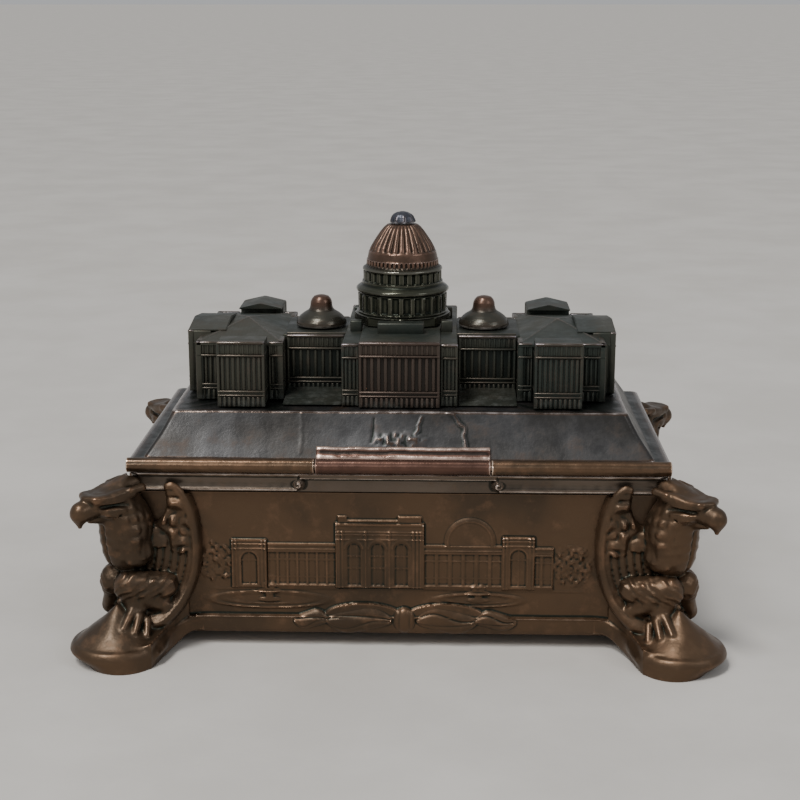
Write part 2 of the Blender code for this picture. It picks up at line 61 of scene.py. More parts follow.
PANEL_LOW, PANEL_HIGH = node_box("panel_rear")
RIM_LOW, RIM_HIGH = node_box("rim_frame")
DOME_LOW, DOME_HIGH = node_box("dome")
CAP_LOW, CAP_HIGH = node_box("dome_cap")
LEAF_LOW, LEAF_HIGH = node_box("lid_hinge_leaf")
KNUCKLE_END = node_box("hinge_knuckle_left")[0][0]
BUILDING_FOOT = node_box("building")[0][2]

WALL_X = 66.0                 # outer faces of the four panels
WALL_Y = 38.5
PANEL_BOTTOM = PANEL_LOW[2]
PANEL_TOP = PANEL_HIGH[2]


# ---------------------------------------------------------------- numbers on arrays

def smoothstep(low, high, value):
    t = np.clip((value - low) / (high - low), 0.0, 1.0)
    return t * t * (3.0 - 2.0 * t)


def hashed(ix, iy, iz, seed):
    """A repeatable value from 0 to 1 for each lattice point."""
    n = (ix * 374761393 + iy * 668265263 + iz * 1440662683 + seed * 974634777) & 0xFFFFFFFF
    n = ((n ^ (n >> 13)) * 1274126177) & 0xFFFFFFFF
    return ((n ^ (n >> 16)) & 0xFFFF) / 65535.0


def swell(value, width):
    """A round swelling 1 high where the value is 0, which fades out over the width."""
    return np.exp(-(value / width) ** 2)


def value_noise(x, y, z, size, seed):
    """Smooth noise from -1 to 1 with features of the given size."""
    coordinates = [np.asarray(c, dtype=float) / size for c in (x, y, z)]
    cells = [np.floor(c).astype(np.int64) for c in coordinates]
    fractions = [smoothstep(0.0, 1.0, c - i) for c, i in zip(coordinates, cells)]
    total = 0.0
    for corner in range(8):
        weight = 1.0
        index = []
        for axis in range(3):
            step = corner >> axis & 1
            index.append(cells[axis] + step)
            weight = weight * (fractions[axis] if step else 1.0 - fractions[axis])
        total = total + weight * hashed(*index, seed)
    return total * 2.0 - 1.0


def blend_min(a, b, width):
    """Union of two distance fields with a fillet of about the given width."""
    h = np.clip(0.5 + 0.5 * (b - a) / width, 0.0, 1.0)
    return b * (1.0 - h) + a * h - width * h * (1.0 - h)


def blend_max(a, b, width):
    return -blend_min(-a, -b, width)


def ellipsoid(p, centre, radii, tilt_deg=0.0):
    """Distance to an ellipsoid whose first and third axes lean by tilt_deg about the second."""
    u, v, w = (c - o for c, o in zip(p, centre))
    if tilt_deg:
        cosine, sine = math.cos(math.radians(tilt_deg)), math.sin(math.radians(tilt_deg))
        u, w = cosine * u + sine * w, -sine * u + cosine * w
    k0 = np.sqrt((u / radii[0]) ** 2 + (v / radii[1]) ** 2 + (w / radii[2]) ** 2) + 1e-9
    k1 = np.sqrt((u / radii[0] ** 2) ** 2 + (v / radii[1] ** 2) ** 2 + (w / radii[2] ** 2) ** 2) + 1e-9
    return k0 * (k0 - 1.0) / k1


def capsule(p, a, b, radius_a, radius_b):
    """Distance to a round bar that tapers from a to b."""
    ab = [e - s for s, e in zip(a, b)]
    length_squared = sum(c * c for c in ab)
    along = sum((c - s) * e for c, s, e in zip(p, a, ab)) / length_squared
    along = np.clip(along, 0.0, 1.0)
    gap = np.sqrt(sum((c - s - e * along) ** 2 for c, s, e in zip(p, a, ab)))
    return gap - (radius_a + (radius_b - radius_a) * along)


def distance_to_path(x, y, path):
    """Distance from each point to a path of straight pieces, and the side of it that the point is on."""
    best = np.full(np.shape(x), np.inf)
    side = np.zeros(np.shape(x))
    for (x0, y0), (x1, y1) in zip(path, path[1:]):
        dx, dy = x1 - x0, y1 - y0
        length = math.hypot(dx, dy)
        t = np.clip(((x - x0) * dx + (y - y0) * dy) / length ** 2, 0.0, 1.0)
        gap = np.hypot(x - x0 - t * dx, y - y0 - t * dy)
        nearer = gap < best
        best = np.where(nearer, gap, best)
        side = np.where(nearer, np.sign((x - x0) * dy - (y - y0) * dx), side)
    return best, side


def smooth_path(points):
    """A Catmull-Rom curve through the points."""
    pieces = 8
    p = [points[0]] + list(points) + [points[-1]]
    out = []
    for a, b, c, d in zip(p, p[1:], p[2:], p[3:]):
        for i in range(pieces):
            t = i / pieces
            out.append(tuple(
                0.5 * (2 * vb + (vc - va) * t + (2 * va - 5 * vb + 4 * vc - vd) * t * t
                       + (3 * vb - va - 3 * vc + vd) * t ** 3)
                for va, vb, vc, vd in zip(a, b, c, d)))
    out.append(tuple(points[-1]))
    return out


# ---------------------------------------------------------------- meshes

def mesh_from(name, points, faces):
    """A mesh from points in millimetres, smooth shaded."""
    mesh = bpy.data.meshes.new(name)
    mesh.from_pydata((np.asarray(points, dtype=float) * MM).tolist(), [], [list(map(int, f)) for f in faces])
    mesh.validate()
    if enclosed_volume(mesh) < 0.0:
        mesh.flip_normals()
    mesh.shade_smooth()
    return mesh


def enclosed_volume(mesh):
    """Volume inside a closed mesh, negative where its faces point in."""
    mesh.calc_loop_triangles()
    corners = np.empty(len(mesh.loop_triangles) * 3, dtype=np.int64)
    mesh.loop_triangles.foreach_get("vertices", corners)
    position = np.empty(len(mesh.vertices) * 3)
    mesh.vertices.foreach_get("co", position)
    a, b, c = position.reshape(-1, 3)[corners.reshape(-1, 3)].transpose(1, 0, 2)
    return float((a * np.cross(b, c)).sum() / 6.0)


def surface_net(field, low, high, step):
    """Closed surface where the field crosses zero, as points and four-sided faces."""
    counts = [int(math.ceil((h - l) / step)) + 1 for l, h in zip(low, high)]
    axes = [l + step * np.arange(n) for l, n in zip(low, counts)]
    grid = np.meshgrid(*axes, indexing="ij")
    value = field(*grid)
    for axis in range(3):
        edge = [slice(None)] * 3
        for end in (0, -1):
            edge[axis] = end
            value[tuple(edge)] = np.maximum(value[tuple(edge)], 0.5 * step)
    inside = value < 0.0
    cell_shape = tuple(n - 1 for n in counts)
    total = np.zeros(cell_shape + (3,))
    crossings = np.zeros(cell_shape)

    def corner(array, offset):
        return array[tuple(slice(o, o + n) for o, n in zip(offset, cell_shape))]

    for axis in range(3):
        others = [a for a in range(3) if a != axis]
        for i in range(4):
            start = [0, 0, 0]
            start[others[0]] = i & 1
            start[others[1]] = i >> 1
            end = list(start)
            end[axis] = 1
            va, vb = corner(value, start), corner(value, end)
            crossed = (va < 0.0) != (vb < 0.0)
            t = np.where(crossed, va / np.where(crossed, va - vb, 1.0), 0.0)
            for a in range(3):
                total[..., a] += np.where(crossed, start[a] + (t if a == axis else 0.0), 0.0)
            crossings += crossed
    used = crossings > 0
    index = np.full(cell_shape, -1)
    index[used] = np.arange(int(used.sum()))
    cells = np.argwhere(used)
    points = np.asarray(low) + step * (cells + total[used] / crossings[used][:, None])
    faces = []
    for axis in range(3):
        others = [a for a in range(3) if a != axis]
        front = [slice(1, -1)] * 3
        back = [slice(1, -1)] * 3
        front[axis] = slice(0, -1)
        back[axis] = slice(1, None)
        changed = inside[tuple(front)] != inside[tuple(back)]
        where = np.argwhere(changed)
        where[:, others] += 1
        rising = inside[tuple(front)][changed]
        quad = []
        for da, db in ((0, 0), (1, 0), (1, 1), (0, 1)):
            cell = where.copy()
            cell[:, others[0]] -= da
            cell[:, others[1]] -= db
            quad.append(index[cell[:, 0], cell[:, 1], cell[:, 2]])
        quad = np.stack(quad, axis=1)
        flip = rising if axis != 1 else ~rising
        quad[flip] = quad[flip][:, ::-1]
        faces.append(quad)
    faces = np.concatenate(faces)
    return points, faces[:, ::-1]


def outer_surface(points, faces):
    """The largest connected surface, without the walls of any hollow that is closed inside it."""
    piece = np.arange(len(points))
    changed = True
    while changed:
        before = piece.copy()
        lowest = piece[faces].min(axis=1)
        for column in range(4):
            np.minimum.at(piece, faces[:, column], lowest)
        piece = piece[piece]
        changed = bool((piece != before).any())
    kept = piece == np.bincount(piece).argmax()
    number = np.cumsum(kept) - 1
    return points[kept], number[faces[kept[faces[:, 0]]]]


def grid_faces(rows, columns, wrap_rows=False, wrap_columns=False):
    """Faces of a sheet of points numbered row by row."""
    r = np.arange(rows if wrap_rows else rows - 1)
    c = np.arange(columns if wrap_columns else columns - 1)
    rr, cc = np.meshgrid(r, c, indexing="ij")
    r2, c2 = (rr + 1) % rows, (cc + 1) % columns
    return np.stack([rr * columns + cc, r2 * columns + cc, r2 * columns + c2, rr * columns + c2],
                    axis=-1).reshape(-1, 4)


def loft(rings, wrap=False):
    """Points and faces of a skin through rings that all have the same number of points."""
    rings = np.asarray(rings, dtype=float)
    rows, columns = rings.shape[:2]
    faces = [tuple(f) for f in grid_faces(rows, columns, wrap_rows=wrap, wrap_columns=True)]
    points = rings.reshape(-1, 3)
    if not wrap:
        faces.append(tuple(range(columns)))
        faces.append(tuple(reversed(range((rows - 1) * columns, rows * columns))))
    return points, faces


def edge_pairs(mesh):
    pairs = np.empty(len(mesh.edges) * 2, dtype=np.int64)
    mesh.edges.foreach_get("vertices", pairs)
    return pairs.reshape(-1, 2)


def mark_wear_and_sheen(mesh, scale):
    """Store how exposed each point is: 1 on ridges, 0.5 on flats and 0 in hollows. The materials read it to
    darken hollows, warm rubbed wear and paint a highlight on ridges.
    """
    passes = 3
    count = len(mesh.vertices)
    position = np.empty(count * 3)
    mesh.vertices.foreach_get("co", position)
    position = position.reshape(-1, 3) / MM
    normal = np.empty(count * 3)
    mesh.vertices.foreach_get("normal", normal)
    normal = normal.reshape(-1, 3)
    a, b = edge_pairs(mesh).T
    degree = np.maximum(np.bincount(np.concatenate([a, b]), minlength=count), 1)

    def neighbour_mean(values):
        total = np.zeros_like(values)
        np.add.at(total, a, values[b])
        np.add.at(total, b, values[a])
        return total / (degree[:, None] if values.ndim == 2 else degree)

    smooth = position
    rise = np.zeros(count)
    for _ in range(passes):
        smooth = neighbour_mean(smooth)
        rise = rise + ((position - smooth) * normal).sum(axis=1)
    rise = rise / passes
    rise = 0.5 * rise + 0.5 * neighbour_mean(rise)
    attribute = mesh.attributes.new("wear_and_sheen", "FLOAT", "POINT")
    attribute.data.foreach_set("value", (0.5 + 0.5 * np.tanh(rise / scale)).astype(np.float32))


def place(name, mesh, material, body, nodes=()):
    """Add a piece that rides on a body and stands for the given CAD nodes."""
    obj = bpy.data.objects.new(name, mesh)
    bpy.context.scene.collection.objects.link(obj)
    mesh.materials.clear()
    mesh.materials.append(material)
    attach(obj, body)
    if nodes:
        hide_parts(*nodes)


def mirrored_mesh(mesh, name, sign_x, sign_y):
    """A copy of the mesh mirrored across the middle planes, still facing out."""
    copy = mesh.copy()
    copy.name = name
    copy.transform(Matrix.Diagonal((sign_x, sign_y, 1.0, 1.0)))
    if sign_x * sign_y < 0:
        copy.flip_normals()
    return copy


# ---------------------------------------------------------------- materials

class Graph:
    """A small helper that adds nodes to one material."""

    def __init__(self, name):
        self.material = bpy.data.materials.new(name)
        self.material.use_nodes = True
        self.nodes = self.material.node_tree.nodes
        self.links = self.material.node_tree.links
        self.shader = self.nodes["Principled BSDF"]

    def link(self, source, target):
        self.links.new(source, target)

    def coordinates(self):
        return self.nodes.new("ShaderNodeTexCoord").outputs["Object"]

    def noise(self, size_mm, detail, roughness=0.55, vector=None):
        node = self.nodes.new("ShaderNodeTexNoise")
        node.inputs["Scale"].default_value = 1000.0 / size_mm
        node.inputs["Detail"].default_value = detail
        node.inputs["Roughness"].default_value = roughness
        self.link(vector or self.coordinates(), node.inputs["Vector"])
        return node.outputs["Fac"]

    def stretched(self, scale):
        """Object coordinates scaled unevenly, for streaks."""
        node = self.nodes.new("ShaderNodeMapping")
        node.inputs["Scale"].default_value = scale
        self.link(self.coordinates(), node.inputs["Vector"])
        return node.outputs["Vector"]

    def attribute(self, name):
        node = self.nodes.new("ShaderNodeAttribute")
        node.attribute_name = name
        return node.outputs["Fac"]

    def remap(self, value, low, high, to_low=0.0, to_high=1.0):
        node = self.nodes.new("ShaderNodeMapRange")
        node.interpolation_type = "SMOOTHSTEP"
        for socket, number in zip(("From Min", "From Max", "To Min", "To Max"), (low, high, to_low, to_high)):
            node.inputs[socket].default_value = number
        self.link(value, node.inputs["Value"])
        return node.outputs["Result"]

    def math(self, operation, a, b):
        node = self.nodes.new("ShaderNodeMath")
        node.operation = operation
        node.use_clamp = True
        for socket, value in zip(node.inputs, (a, b)):
            if isinstance(value, (int, float)):
                socket.default_value = value
            else:
                self.link(value, socket)
        return node.outputs["Value"]

    def mix(self, factor, a, b):
        """Colour a where the factor is 0 and b where it is 1."""
        node = self.nodes.new("ShaderNodeMix")
        node.data_type = "RGBA"
        self.link(factor, node.inputs["Factor"])
        for socket, value in ((node.inputs["A"], a), (node.inputs["B"], b)):
            if isinstance(value, tuple):
                socket.default_value = (*value, 1.0)
            else:
                self.link(value, socket)
        return node.outputs["Result"]

    def bump(self, *layers):
        """Each layer is a height value and its depth in millimetres."""
        normal = None
        for height, depth in layers:
            node = self.nodes.new("ShaderNodeBump")
            node.inputs["Strength"].default_value = 1.0
            node.inputs["Distance"].default_value = depth * MM
            self.link(height, node.inputs["Height"])
            if normal is not None:
                self.link(normal, node.inputs["Normal"])
            normal = node.outputs["Normal"]
        self.link(normal, self.shader.inputs["Normal"])


def along(graph, axis):
    """One object coordinate as a value."""
    node = graph.nodes.new("ShaderNodeSeparateXYZ")
    graph.link(graph.coordinates(), node.inputs["Vector"])
    return node.outputs[axis]


def patina(name, dark, mid, warm, rubbed_metal_and_sheen, hollow, metallic, roughness, rub=0.64,
           warm_amount=0.6, grain=0.02, pits=0.03, specular=0.5):
    """Old bronze: mottled patina, darker hollows, metal rubbed warm on what stands proud, and a pale colour
    on the most exposed ridges that is rubbed metal and a painted highlight.
    """
    g = Graph(name)
    wear_and_sheen = g.attribute("wear_and_sheen")
    clouds = g.noise(26.0, 3.0)
    mottle = g.noise(5.0, 6.0, 0.65)
    fine = g.noise(0.9, 3.0)
    colour = g.mix(g.remap(clouds, 0.38, 0.62), dark, mid)
    colour = g.mix(g.remap(mottle, 0.50, 0.72, 0.0, warm_amount), colour, warm)
    colour = g.mix(g.remap(wear_and_sheen, 0.46, 0.22), colour, hollow)
    edge = g.math("ADD", wear_and_sheen, g.remap(mottle, 0.3, 0.7, -0.05, 0.05))
    colour = g.mix(g.remap(edge, rub - 0.04, rub + 0.16, 0.0, 0.75), colour, warm)
    # Painted highlight: the most exposed ridges take the pale colour, which stands for rubbed metal and for a
    # glint of light.
    rubbed_metal_and_sheen_mask = g.remap(edge, rub + 0.20, rub + 0.40)
    colour = g.mix(rubbed_metal_and_sheen_mask, colour, rubbed_metal_and_sheen)
    g.link(colour, g.shader.inputs["Base Color"])
    g.shader.inputs["Metallic"].default_value = metallic
    g.shader.inputs["Specular IOR Level"].default_value = specular
    dull = g.remap(mottle, 0.35, 0.65, roughness - 0.07, roughness + 0.10)
    polish = g.remap(edge, rub - 0.04, rub + 0.20, 0.0, 0.20)
    g.link(g.math("SUBTRACT", dull, polish), g.shader.inputs["Roughness"])
    g.bump((mottle, grain * 3.0), (fine, pits))
    return g


BRONZE = patina(
    "bronze_base", dark=(0.064, 0.043, 0.027), mid=(0.100, 0.061, 0.035), warm=(0.165, 0.095, 0.055),
    rubbed_metal_and_sheen=(0.85, 0.68, 0.54), hollow=(0.017, 0.021, 0.015), metallic=0.75, roughness=0.39,
    grain=0.03, pits=0.045).material
LID_BRONZE = patina(
    "bronze_lid", dark=(0.034, 0.032, 0.030), mid=(0.052, 0.052, 0.053), warm=(0.080, 0.050, 0.034),
    rubbed_metal_and_sheen=(0.52, 0.47, 0.45), hollow=(0.012, 0.015, 0.013), metallic=0.72, roughness=0.38, rub=0.66,
    warm_amount=0.35).material


def dark_bronze():
    """The dull green-black building: browner in the middle, with pale dust where it meets the lid."""
    g = patina(
        "bronze_dark", dark=(0.036, 0.044, 0.038), mid=(0.060, 0.060, 0.047), warm=(0.098, 0.074, 0.058),
        rubbed_metal_and_sheen=(0.42, 0.40, 0.46), hollow=(0.007, 0.011, 0.010), metallic=0.6, roughness=0.44, rub=0.60,
        warm_amount=0.35, specular=0.25)
    colour = g.shader.inputs["Base Color"].links[0].from_socket
    off_middle = g.math("ABSOLUTE", along(g, "X"), 0.0)
    brown = g.mix(g.remap(g.attribute("wear_and_sheen"), 0.25, 0.60), (0.010, 0.007, 0.006), (0.080, 0.056, 0.045))
    in_front = g.remap(g.math("ABSOLUTE", along(g, "Y"), 0.0), 0.0265, 0.0280)
    amount = g.math("MULTIPLY", g.remap(off_middle, 0.0106, 0.0100), g.math("MULTIPLY", in_front, 0.75))
    colour = g.mix(amount, colour, brown)
    low_down = g.remap(along(g, "Z"), 0.0632, 0.0606)
    dust = g.math("MULTIPLY", low_down, g.remap(g.noise(3.0, 5.0, 0.7), 0.42, 0.66))
    colour = g.mix(g.math("MULTIPLY", dust, 0.55), colour, (0.17, 0.18, 0.165))
    g.link(colour, g.shader.inputs["Base Color"])
    return g.material


DARK_BRONZE = dark_bronze()


def dome_bronze():
    """The rubbed brown of the dome, over a drum that has stayed olive and dull, with its most exposed ridges
    lightened: rubbed wear and a painted highlight.
    """
    g = patina(
        "bronze_dome", dark=(0.072, 0.046, 0.032), mid=(0.100, 0.062, 0.044), warm=(0.17, 0.10, 0.072),
        rubbed_metal_and_sheen=(0.72, 0.58, 0.52), hollow=(0.026, 0.020, 0.015), metallic=0.8, roughness=0.30, rub=0.58)
    brown = g.shader.inputs["Base Color"].links[0].from_socket
    wear_and_sheen = g.attribute("wear_and_sheen")
    drum = g.mix(g.remap(wear_and_sheen, 0.25, 0.60), (0.010, 0.013, 0.009), (0.052, 0.054, 0.038))
    # Painted highlight: the drum's most exposed ridges are lightened, partly for rubbed wear.
    drum = g.mix(g.remap(wear_and_sheen, 0.70, 1.0), drum, (0.13, 0.125, 0.105))
    above = g.remap(along(g, "Z"), 0.0922, 0.0936)
    g.link(g.mix(above, drum, brown), g.shader.inputs["Base Color"])
    return g.material


DOME_BRONZE = dome_bronze()


def cupola_bronze():
    """Grey-olive bells whose tops are rubbed to a rusty brown."""
    g = patina(
        "bronze_cupola", dark=(0.034, 0.036, 0.030), mid=(0.056, 0.053, 0.042), warm=(0.080, 0.062, 0.046),
        rubbed_metal_and_sheen=(0.52, 0.47, 0.44), hollow=(0.010, 0.012, 0.010), metallic=0.7, roughness=0.32, rub=0.66)
    colour = g.shader.inputs["Base Color"].links[0].from_socket
    rusty = g.mix(g.remap(along(g, "Z"), 0.0800, 0.0828), colour, (0.105, 0.060, 0.042))
    g.link(rusty, g.shader.inputs["Base Color"])
    return g.material


CUPOLA_BRONZE = cupola_bronze()
RIM_BRONZE = patina(
    "bronze_rim", dark=(0.094, 0.073, 0.056), mid=(0.126, 0.098, 0.075), warm=(0.150, 0.100, 0.066),
    rubbed_metal_and_sheen=(0.62, 0.53, 0.47), hollow=(0.024, 0.022, 0.016), metallic=0.75, roughness=0.38).material
COPPER = patina(
    "copper_leaf", dark=(0.075, 0.040, 0.030), mid=(0.105, 0.055, 0.040), warm=(0.150, 0.078, 0.056),
    rubbed_metal_and_sheen=(0.62, 0.46, 0.38), hollow=(0.020, 0.014, 0.011), metallic=0.8, roughness=0.40).material
PEWTER = patina(
    "worn_cap", dark=(0.045, 0.048, 0.062), mid=(0.075, 0.080, 0.100), warm=(0.10, 0.085, 0.085),
    rubbed_metal_and_sheen=(0.50, 0.50, 0.56), hollow=(0.015, 0.016, 0.020), metallic=0.8, roughness=0.36).material


def plated(name, dark, light, roughness, streaks=(1.0, 1.0, 1.0)):
    """Bare metal with fine streaks and a little tarnish, for pieces with no wear marks."""
    g = Graph(name)
    cloud = g.noise(9.0, 5.0, 0.6)
    fine = g.noise(0.6, 3.0, 0.5, g.stretched(streaks))
    colour = g.mix(g.remap(cloud, 0.35, 0.65), dark, light)
    g.link(g.mix(g.remap(fine, 0.45, 0.75, 0.0, 0.35), colour, dark), g.shader.inputs["Base Color"])
    g.shader.inputs["Metallic"].default_value = 0.9
    g.link(g.remap(cloud, 0.3, 0.7, roughness - 0.06, roughness + 0.10), g.shader.inputs["Roughness"])
    g.bump((fine, 0.008))
    return g.material


STEEL = plated("old_steel", (0.22, 0.20, 0.17), (0.46, 0.44, 0.41), 0.36)
DECK_PLATE = plated("deck_plate", (0.20, 0.15, 0.085), (0.40, 0.32, 0.19), 0.38, streaks=(0.15, 1.0, 1.0))
BASE_PLATE = plated("base_plate", (0.07, 0.055, 0.040), (0.15, 0.12, 0.085), 0.48)


def well_glass():
    g = Graph("well_glass")
    g.shader.inputs["Base Color"].default_value = (0.86, 0.95, 0.92, 1.0)
    g.shader.inputs["Transmission Weight"].default_value = 1.0
    g.shader.inputs["IOR"].default_value = 1.5
    ripple = g.noise(7.0, 2.0)
    g.link(g.remap(g.noise(3.0, 4.0), 0.4, 0.8, 0.03, 0.16), g.shader.inputs["Roughness"])
    g.bump((ripple, 0.10))
    return g.material


GLASS = well_glass()


# ---------------------------------------------------------------- CAD pieces whose shape is kept

def carry_over():
    """Give the pieces that keep their CAD shape their materials."""
    finishes = {
        "inner_deck": DECK_PLATE, "bottom_plate": BASE_PLATE, "hinge_pin": STEEL,
        "glass_well_left": GLASS, "glass_well_right": GLASS,
    }
    for name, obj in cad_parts.items():
        if "screw" in name:
            finishes[name] = STEEL
        if name in finishes:
            obj.data.materials.clear()
            obj.data.materials.append(finishes[name])


carry_over()


# ---------------------------------------------------------------- corner castings

# All of this is worked out in the quadrant of +X and +Y, and mirrored to the other corners.
# s runs along a panel away from the corner, n stands out from the panel, d runs out along the
# diagonal of the corner, and a is the distance to either side of that diagonal.
FOOT_CENTRE = (70.3, 47.3)
FOOT_RADIUS = 12.2
SOLE_CENTRE = (68.4, 51.0)
SOLE_RADIUS = 8.4
RIM_CORNER_RADIUS = 1.6
WING_EDGE = smooth_path([
    (6.6, 44.3), (9.6, 45.1), (12.6, 43.0), (15.0, 38.0), (16.3, 32.0), (16.6, 26.5), (15.8, 20.0),
    (13.2, 13.4), (8.3, 7.8), (3.6, 5.9), (-0.9, 4.9), (-6.0, 4.6),
])
WING_ROOT = smooth_path([(6.3, 44.6), (7.4, 40.5), (7.4, 37.0), (5.8, 34.0), (3.0, 32.9), (-1.5, 32.7)])


def feathers(inward, width):
    """Long overlapping feathers that follow the leading edge: rounded tops with a sharp groove between."""
    place_across = inward / width
    across = place_across - np.floor(place_across)
    crown = np.sqrt(np.clip(1.0 - (2.0 * across - 1.0) ** 2, 0.0, 1.0))
    quill = 0.08 * swell(across - 0.5, 0.07)
    return 0.95 * crown + quill - 0.25 * across


def wing_field(s, n, z):
    """One wing, laid along a panel: a rounded leading edge, lumpy coverts and long primaries."""
    reach, side = distance_to_path(s, z, WING_EDGE)
    inward = np.where(side > 0, reach, -reach)
    root_gap, root_side = distance_to_path(s, z, WING_ROOT)
    hollow = np.where(root_side > 0, root_gap, -root_gap)
    rim = 1.0 - np.clip(inward / 2.3, 0.0, 1.0)
    height = 3.5 * np.sqrt(np.clip(1.0 - rim * rim, 0.0, 1.0))
    height += 5.2 * smoothstep(21.0, 6.0, z) ** 1.3
    inner_rim = 1.0 - np.clip(-hollow / 1.6, 0.0, 1.0)
    height *= 0.35 + 0.65 * np.sqrt(np.clip(1.0 - inner_rim * inner_rim, 0.0, 1.0))
    behind = smoothstep(2.0, 3.2, inward)
    line = 26.6 + 0.6 * np.sin(1.1 * s) - 0.25 * (s - 8.0) + 0.5 * value_noise(s, z, 0.0, 1.5, 6)
    coverts = smoothstep(line - 0.15, line + 0.25, z)
    puffs = np.abs(value_noise(s * 1.1, 0.0 * n, z, 2.6, 3))
    fine = value_noise(s, n * 0.5, z, 1.0, 4)
    covert_relief = -0.75 + 1.7 * puffs * smoothstep(44.0, 38.0, z) + 0.22 * fine
    primary_relief = -1.15 + 0.75 * feathers(inward - 2.2, 1.95)
    height += behind * (coverts * covert_relief + (1.0 - coverts) * primary_relief)
    body = n - height
    return np.maximum(np.maximum(body * 0.72, -inward * 0.9), hollow * 0.8)


def bird_field(d, a, z):
    """Head, neck, breast and belly."""
    p = (d, a, z)
    breast = ellipsoid(p, (3.5, 0.0, 31.3), (6.7, 6.6, 10.5), 3.0)
    belly = ellipsoid(p, (3.0, 0.0, 25.6), (6.1, 6.6, 4.0))
    neck = capsule(p, (3.4, 0.0, 33.0), (7.0, 0.0, 38.8), 6.0, 5.0)
    head = ellipsoid(p, (8.2, 0.0, 40.2), (7.0, 4.8, 4.0))
    nape = capsule(p, (-1.5, 0.0, 44.0), (5.0, 0.0, 42.6), 2.9, 3.2)
    field = blend_min(breast, belly, 1.0)
    field = blend_min(field, neck, 2.0)
    field = blend_min(field, head, 1.4)
    field = blend_min(field, nape, 1.6)
    over_breast = smoothstep(22.0, 25.0, z) * smoothstep(37.5, 34.5, z)
    bands = np.abs(np.sin(math.pi * (z + 0.25 * a + 0.4 * value_noise(d, a, z, 4.0, 7)) / 2.7))
    field = field + (0.22 * bands - 0.12) * over_breast
    ruffle = np.abs(value_noise(d, a * 1.3, z * 0.8, 2.4, 8))
    rough_side = smoothstep(3.0, 5.2, a) * smoothstep(40.0, 37.0, z)
    field = field + (0.25 - 0.85 * ruffle) * rough_side
    keel = 0.75 * swell(a, 0.50) * smoothstep(21.5, 24.0, z) * smoothstep(36.5, 33.5, z)
    field = field + keel * smoothstep(3.0, 6.0, d)
    shade = capsule(p, (6.0, 5.1, 39.9), (13.6, 2.9, 40.2), 0.7, 0.6)
    field = blend_max(field, -shade, 0.7)
    cheek = ellipsoid(p, (8.6, 3.6, 38.2), (3.4, 1.5, 1.5))
    field = blend_min(field, cheek, 0.8)
    brow = capsule(p, (4.2, 4.2, 42.6), (13.4, 2.4, 42.2), 1.35, 1.5)
    brow = blend_min(brow, capsule(p, (13.4, 2.4, 42.2), (14.6, 0.0, 42.1), 1.5, 1.45), 0.5)
    tuft = capsule(p, (1.6, 4.8, 43.4), (5.2, 4.9, 43.2), 1.1, 0.8)
    field = blend_min(field, brow, 0.6)
    field = blend_min(field, tuft, 0.4)
    crown = z - (43.1 + 3.6 * smoothstep(11.0, 0.5, d) + 0.25 * value_noise(d, a, z, 2.2, 12))
    field = blend_max(field, crown * 0.9, 0.9)
    cere = ellipsoid(p, (13.8, 0.0, 39.6), (1.9, 3.1, 2.6))
    upper = capsule(p, (13.6, 0.0, 39.6), (16.4, 0.0, 38.9), 2.8, 2.7)
    hook = capsule(p, (17.0, 0.0, 38.2), (16.9, 0.0, 35.3), 2.1, 0.55)
    lower = capsule(p, (9.5, 0.0, 37.0), (13.8, 0.0, 36.6), 2.6, 1.1)
    beak = blend_min(upper, hook, 0.7)
    field = blend_min(field, lower, 0.7)
    field = blend_min(field, cere, 0.5)
    field = blend_min(field, beak, 0.30)
    gape = capsule(p, (8.0, 4.7, 37.5), (15.6, 2.1, 37.2), 0.3, 0.35)
    return blend_max(field, -gape, 0.35)


def leg_field(s, n, z):
    """A broad feathered thigh and a short shank that sinks into the foot, on each side of the diagonal."""
    p = (s, n, z)
    tuft = np.abs(value_noise(s * 0.8, n, z * 1.1, 2.0, 9))
    streaks = 0.30 * np.abs(np.sin(1.5 * (z - 0.7 * s) + 1.5 * value_noise(s, n, z, 3.0, 13)))
    thigh = capsule(p, (-1.4, 6.0, 17.9), (7.0, 4.2, 17.6), 4.1, 3.4) - 0.5 * tuft + streaks
    ragged = capsule(p, (2.2, 5.6, 14.6), (6.6, 4.6, 12.4), 2.9, 2.4) - 0.9 * tuft + 0.3
    shank = capsule(p, (-0.6, 6.6, 14.4), (0.6, 8.0, 10.4), 2.6, 2.1) - 0.4 * tuft
    field = blend_min(thigh, ragged, 1.4)
    field = blend_min(field, shank, 1.2)
    return field


def claws(s, n, z):
    """Three short claws that sink into the foot beside its ridge."""
    p = (s, n, z)
    field = capsule(p, (-0.6, 9.4, 12.0), (-2.0, 13.6, 9.2), 1.20, 0.7)
    field = np.minimum(field, capsule(p, (1.3, 9.4, 11.0), (0.9, 13.4, 8.1), 1.20, 0.7))
    return np.minimum(field, capsule(p, (3.2, 8.8, 9.8), (3.6, 12.0, 7.0), 1.15, 0.7))


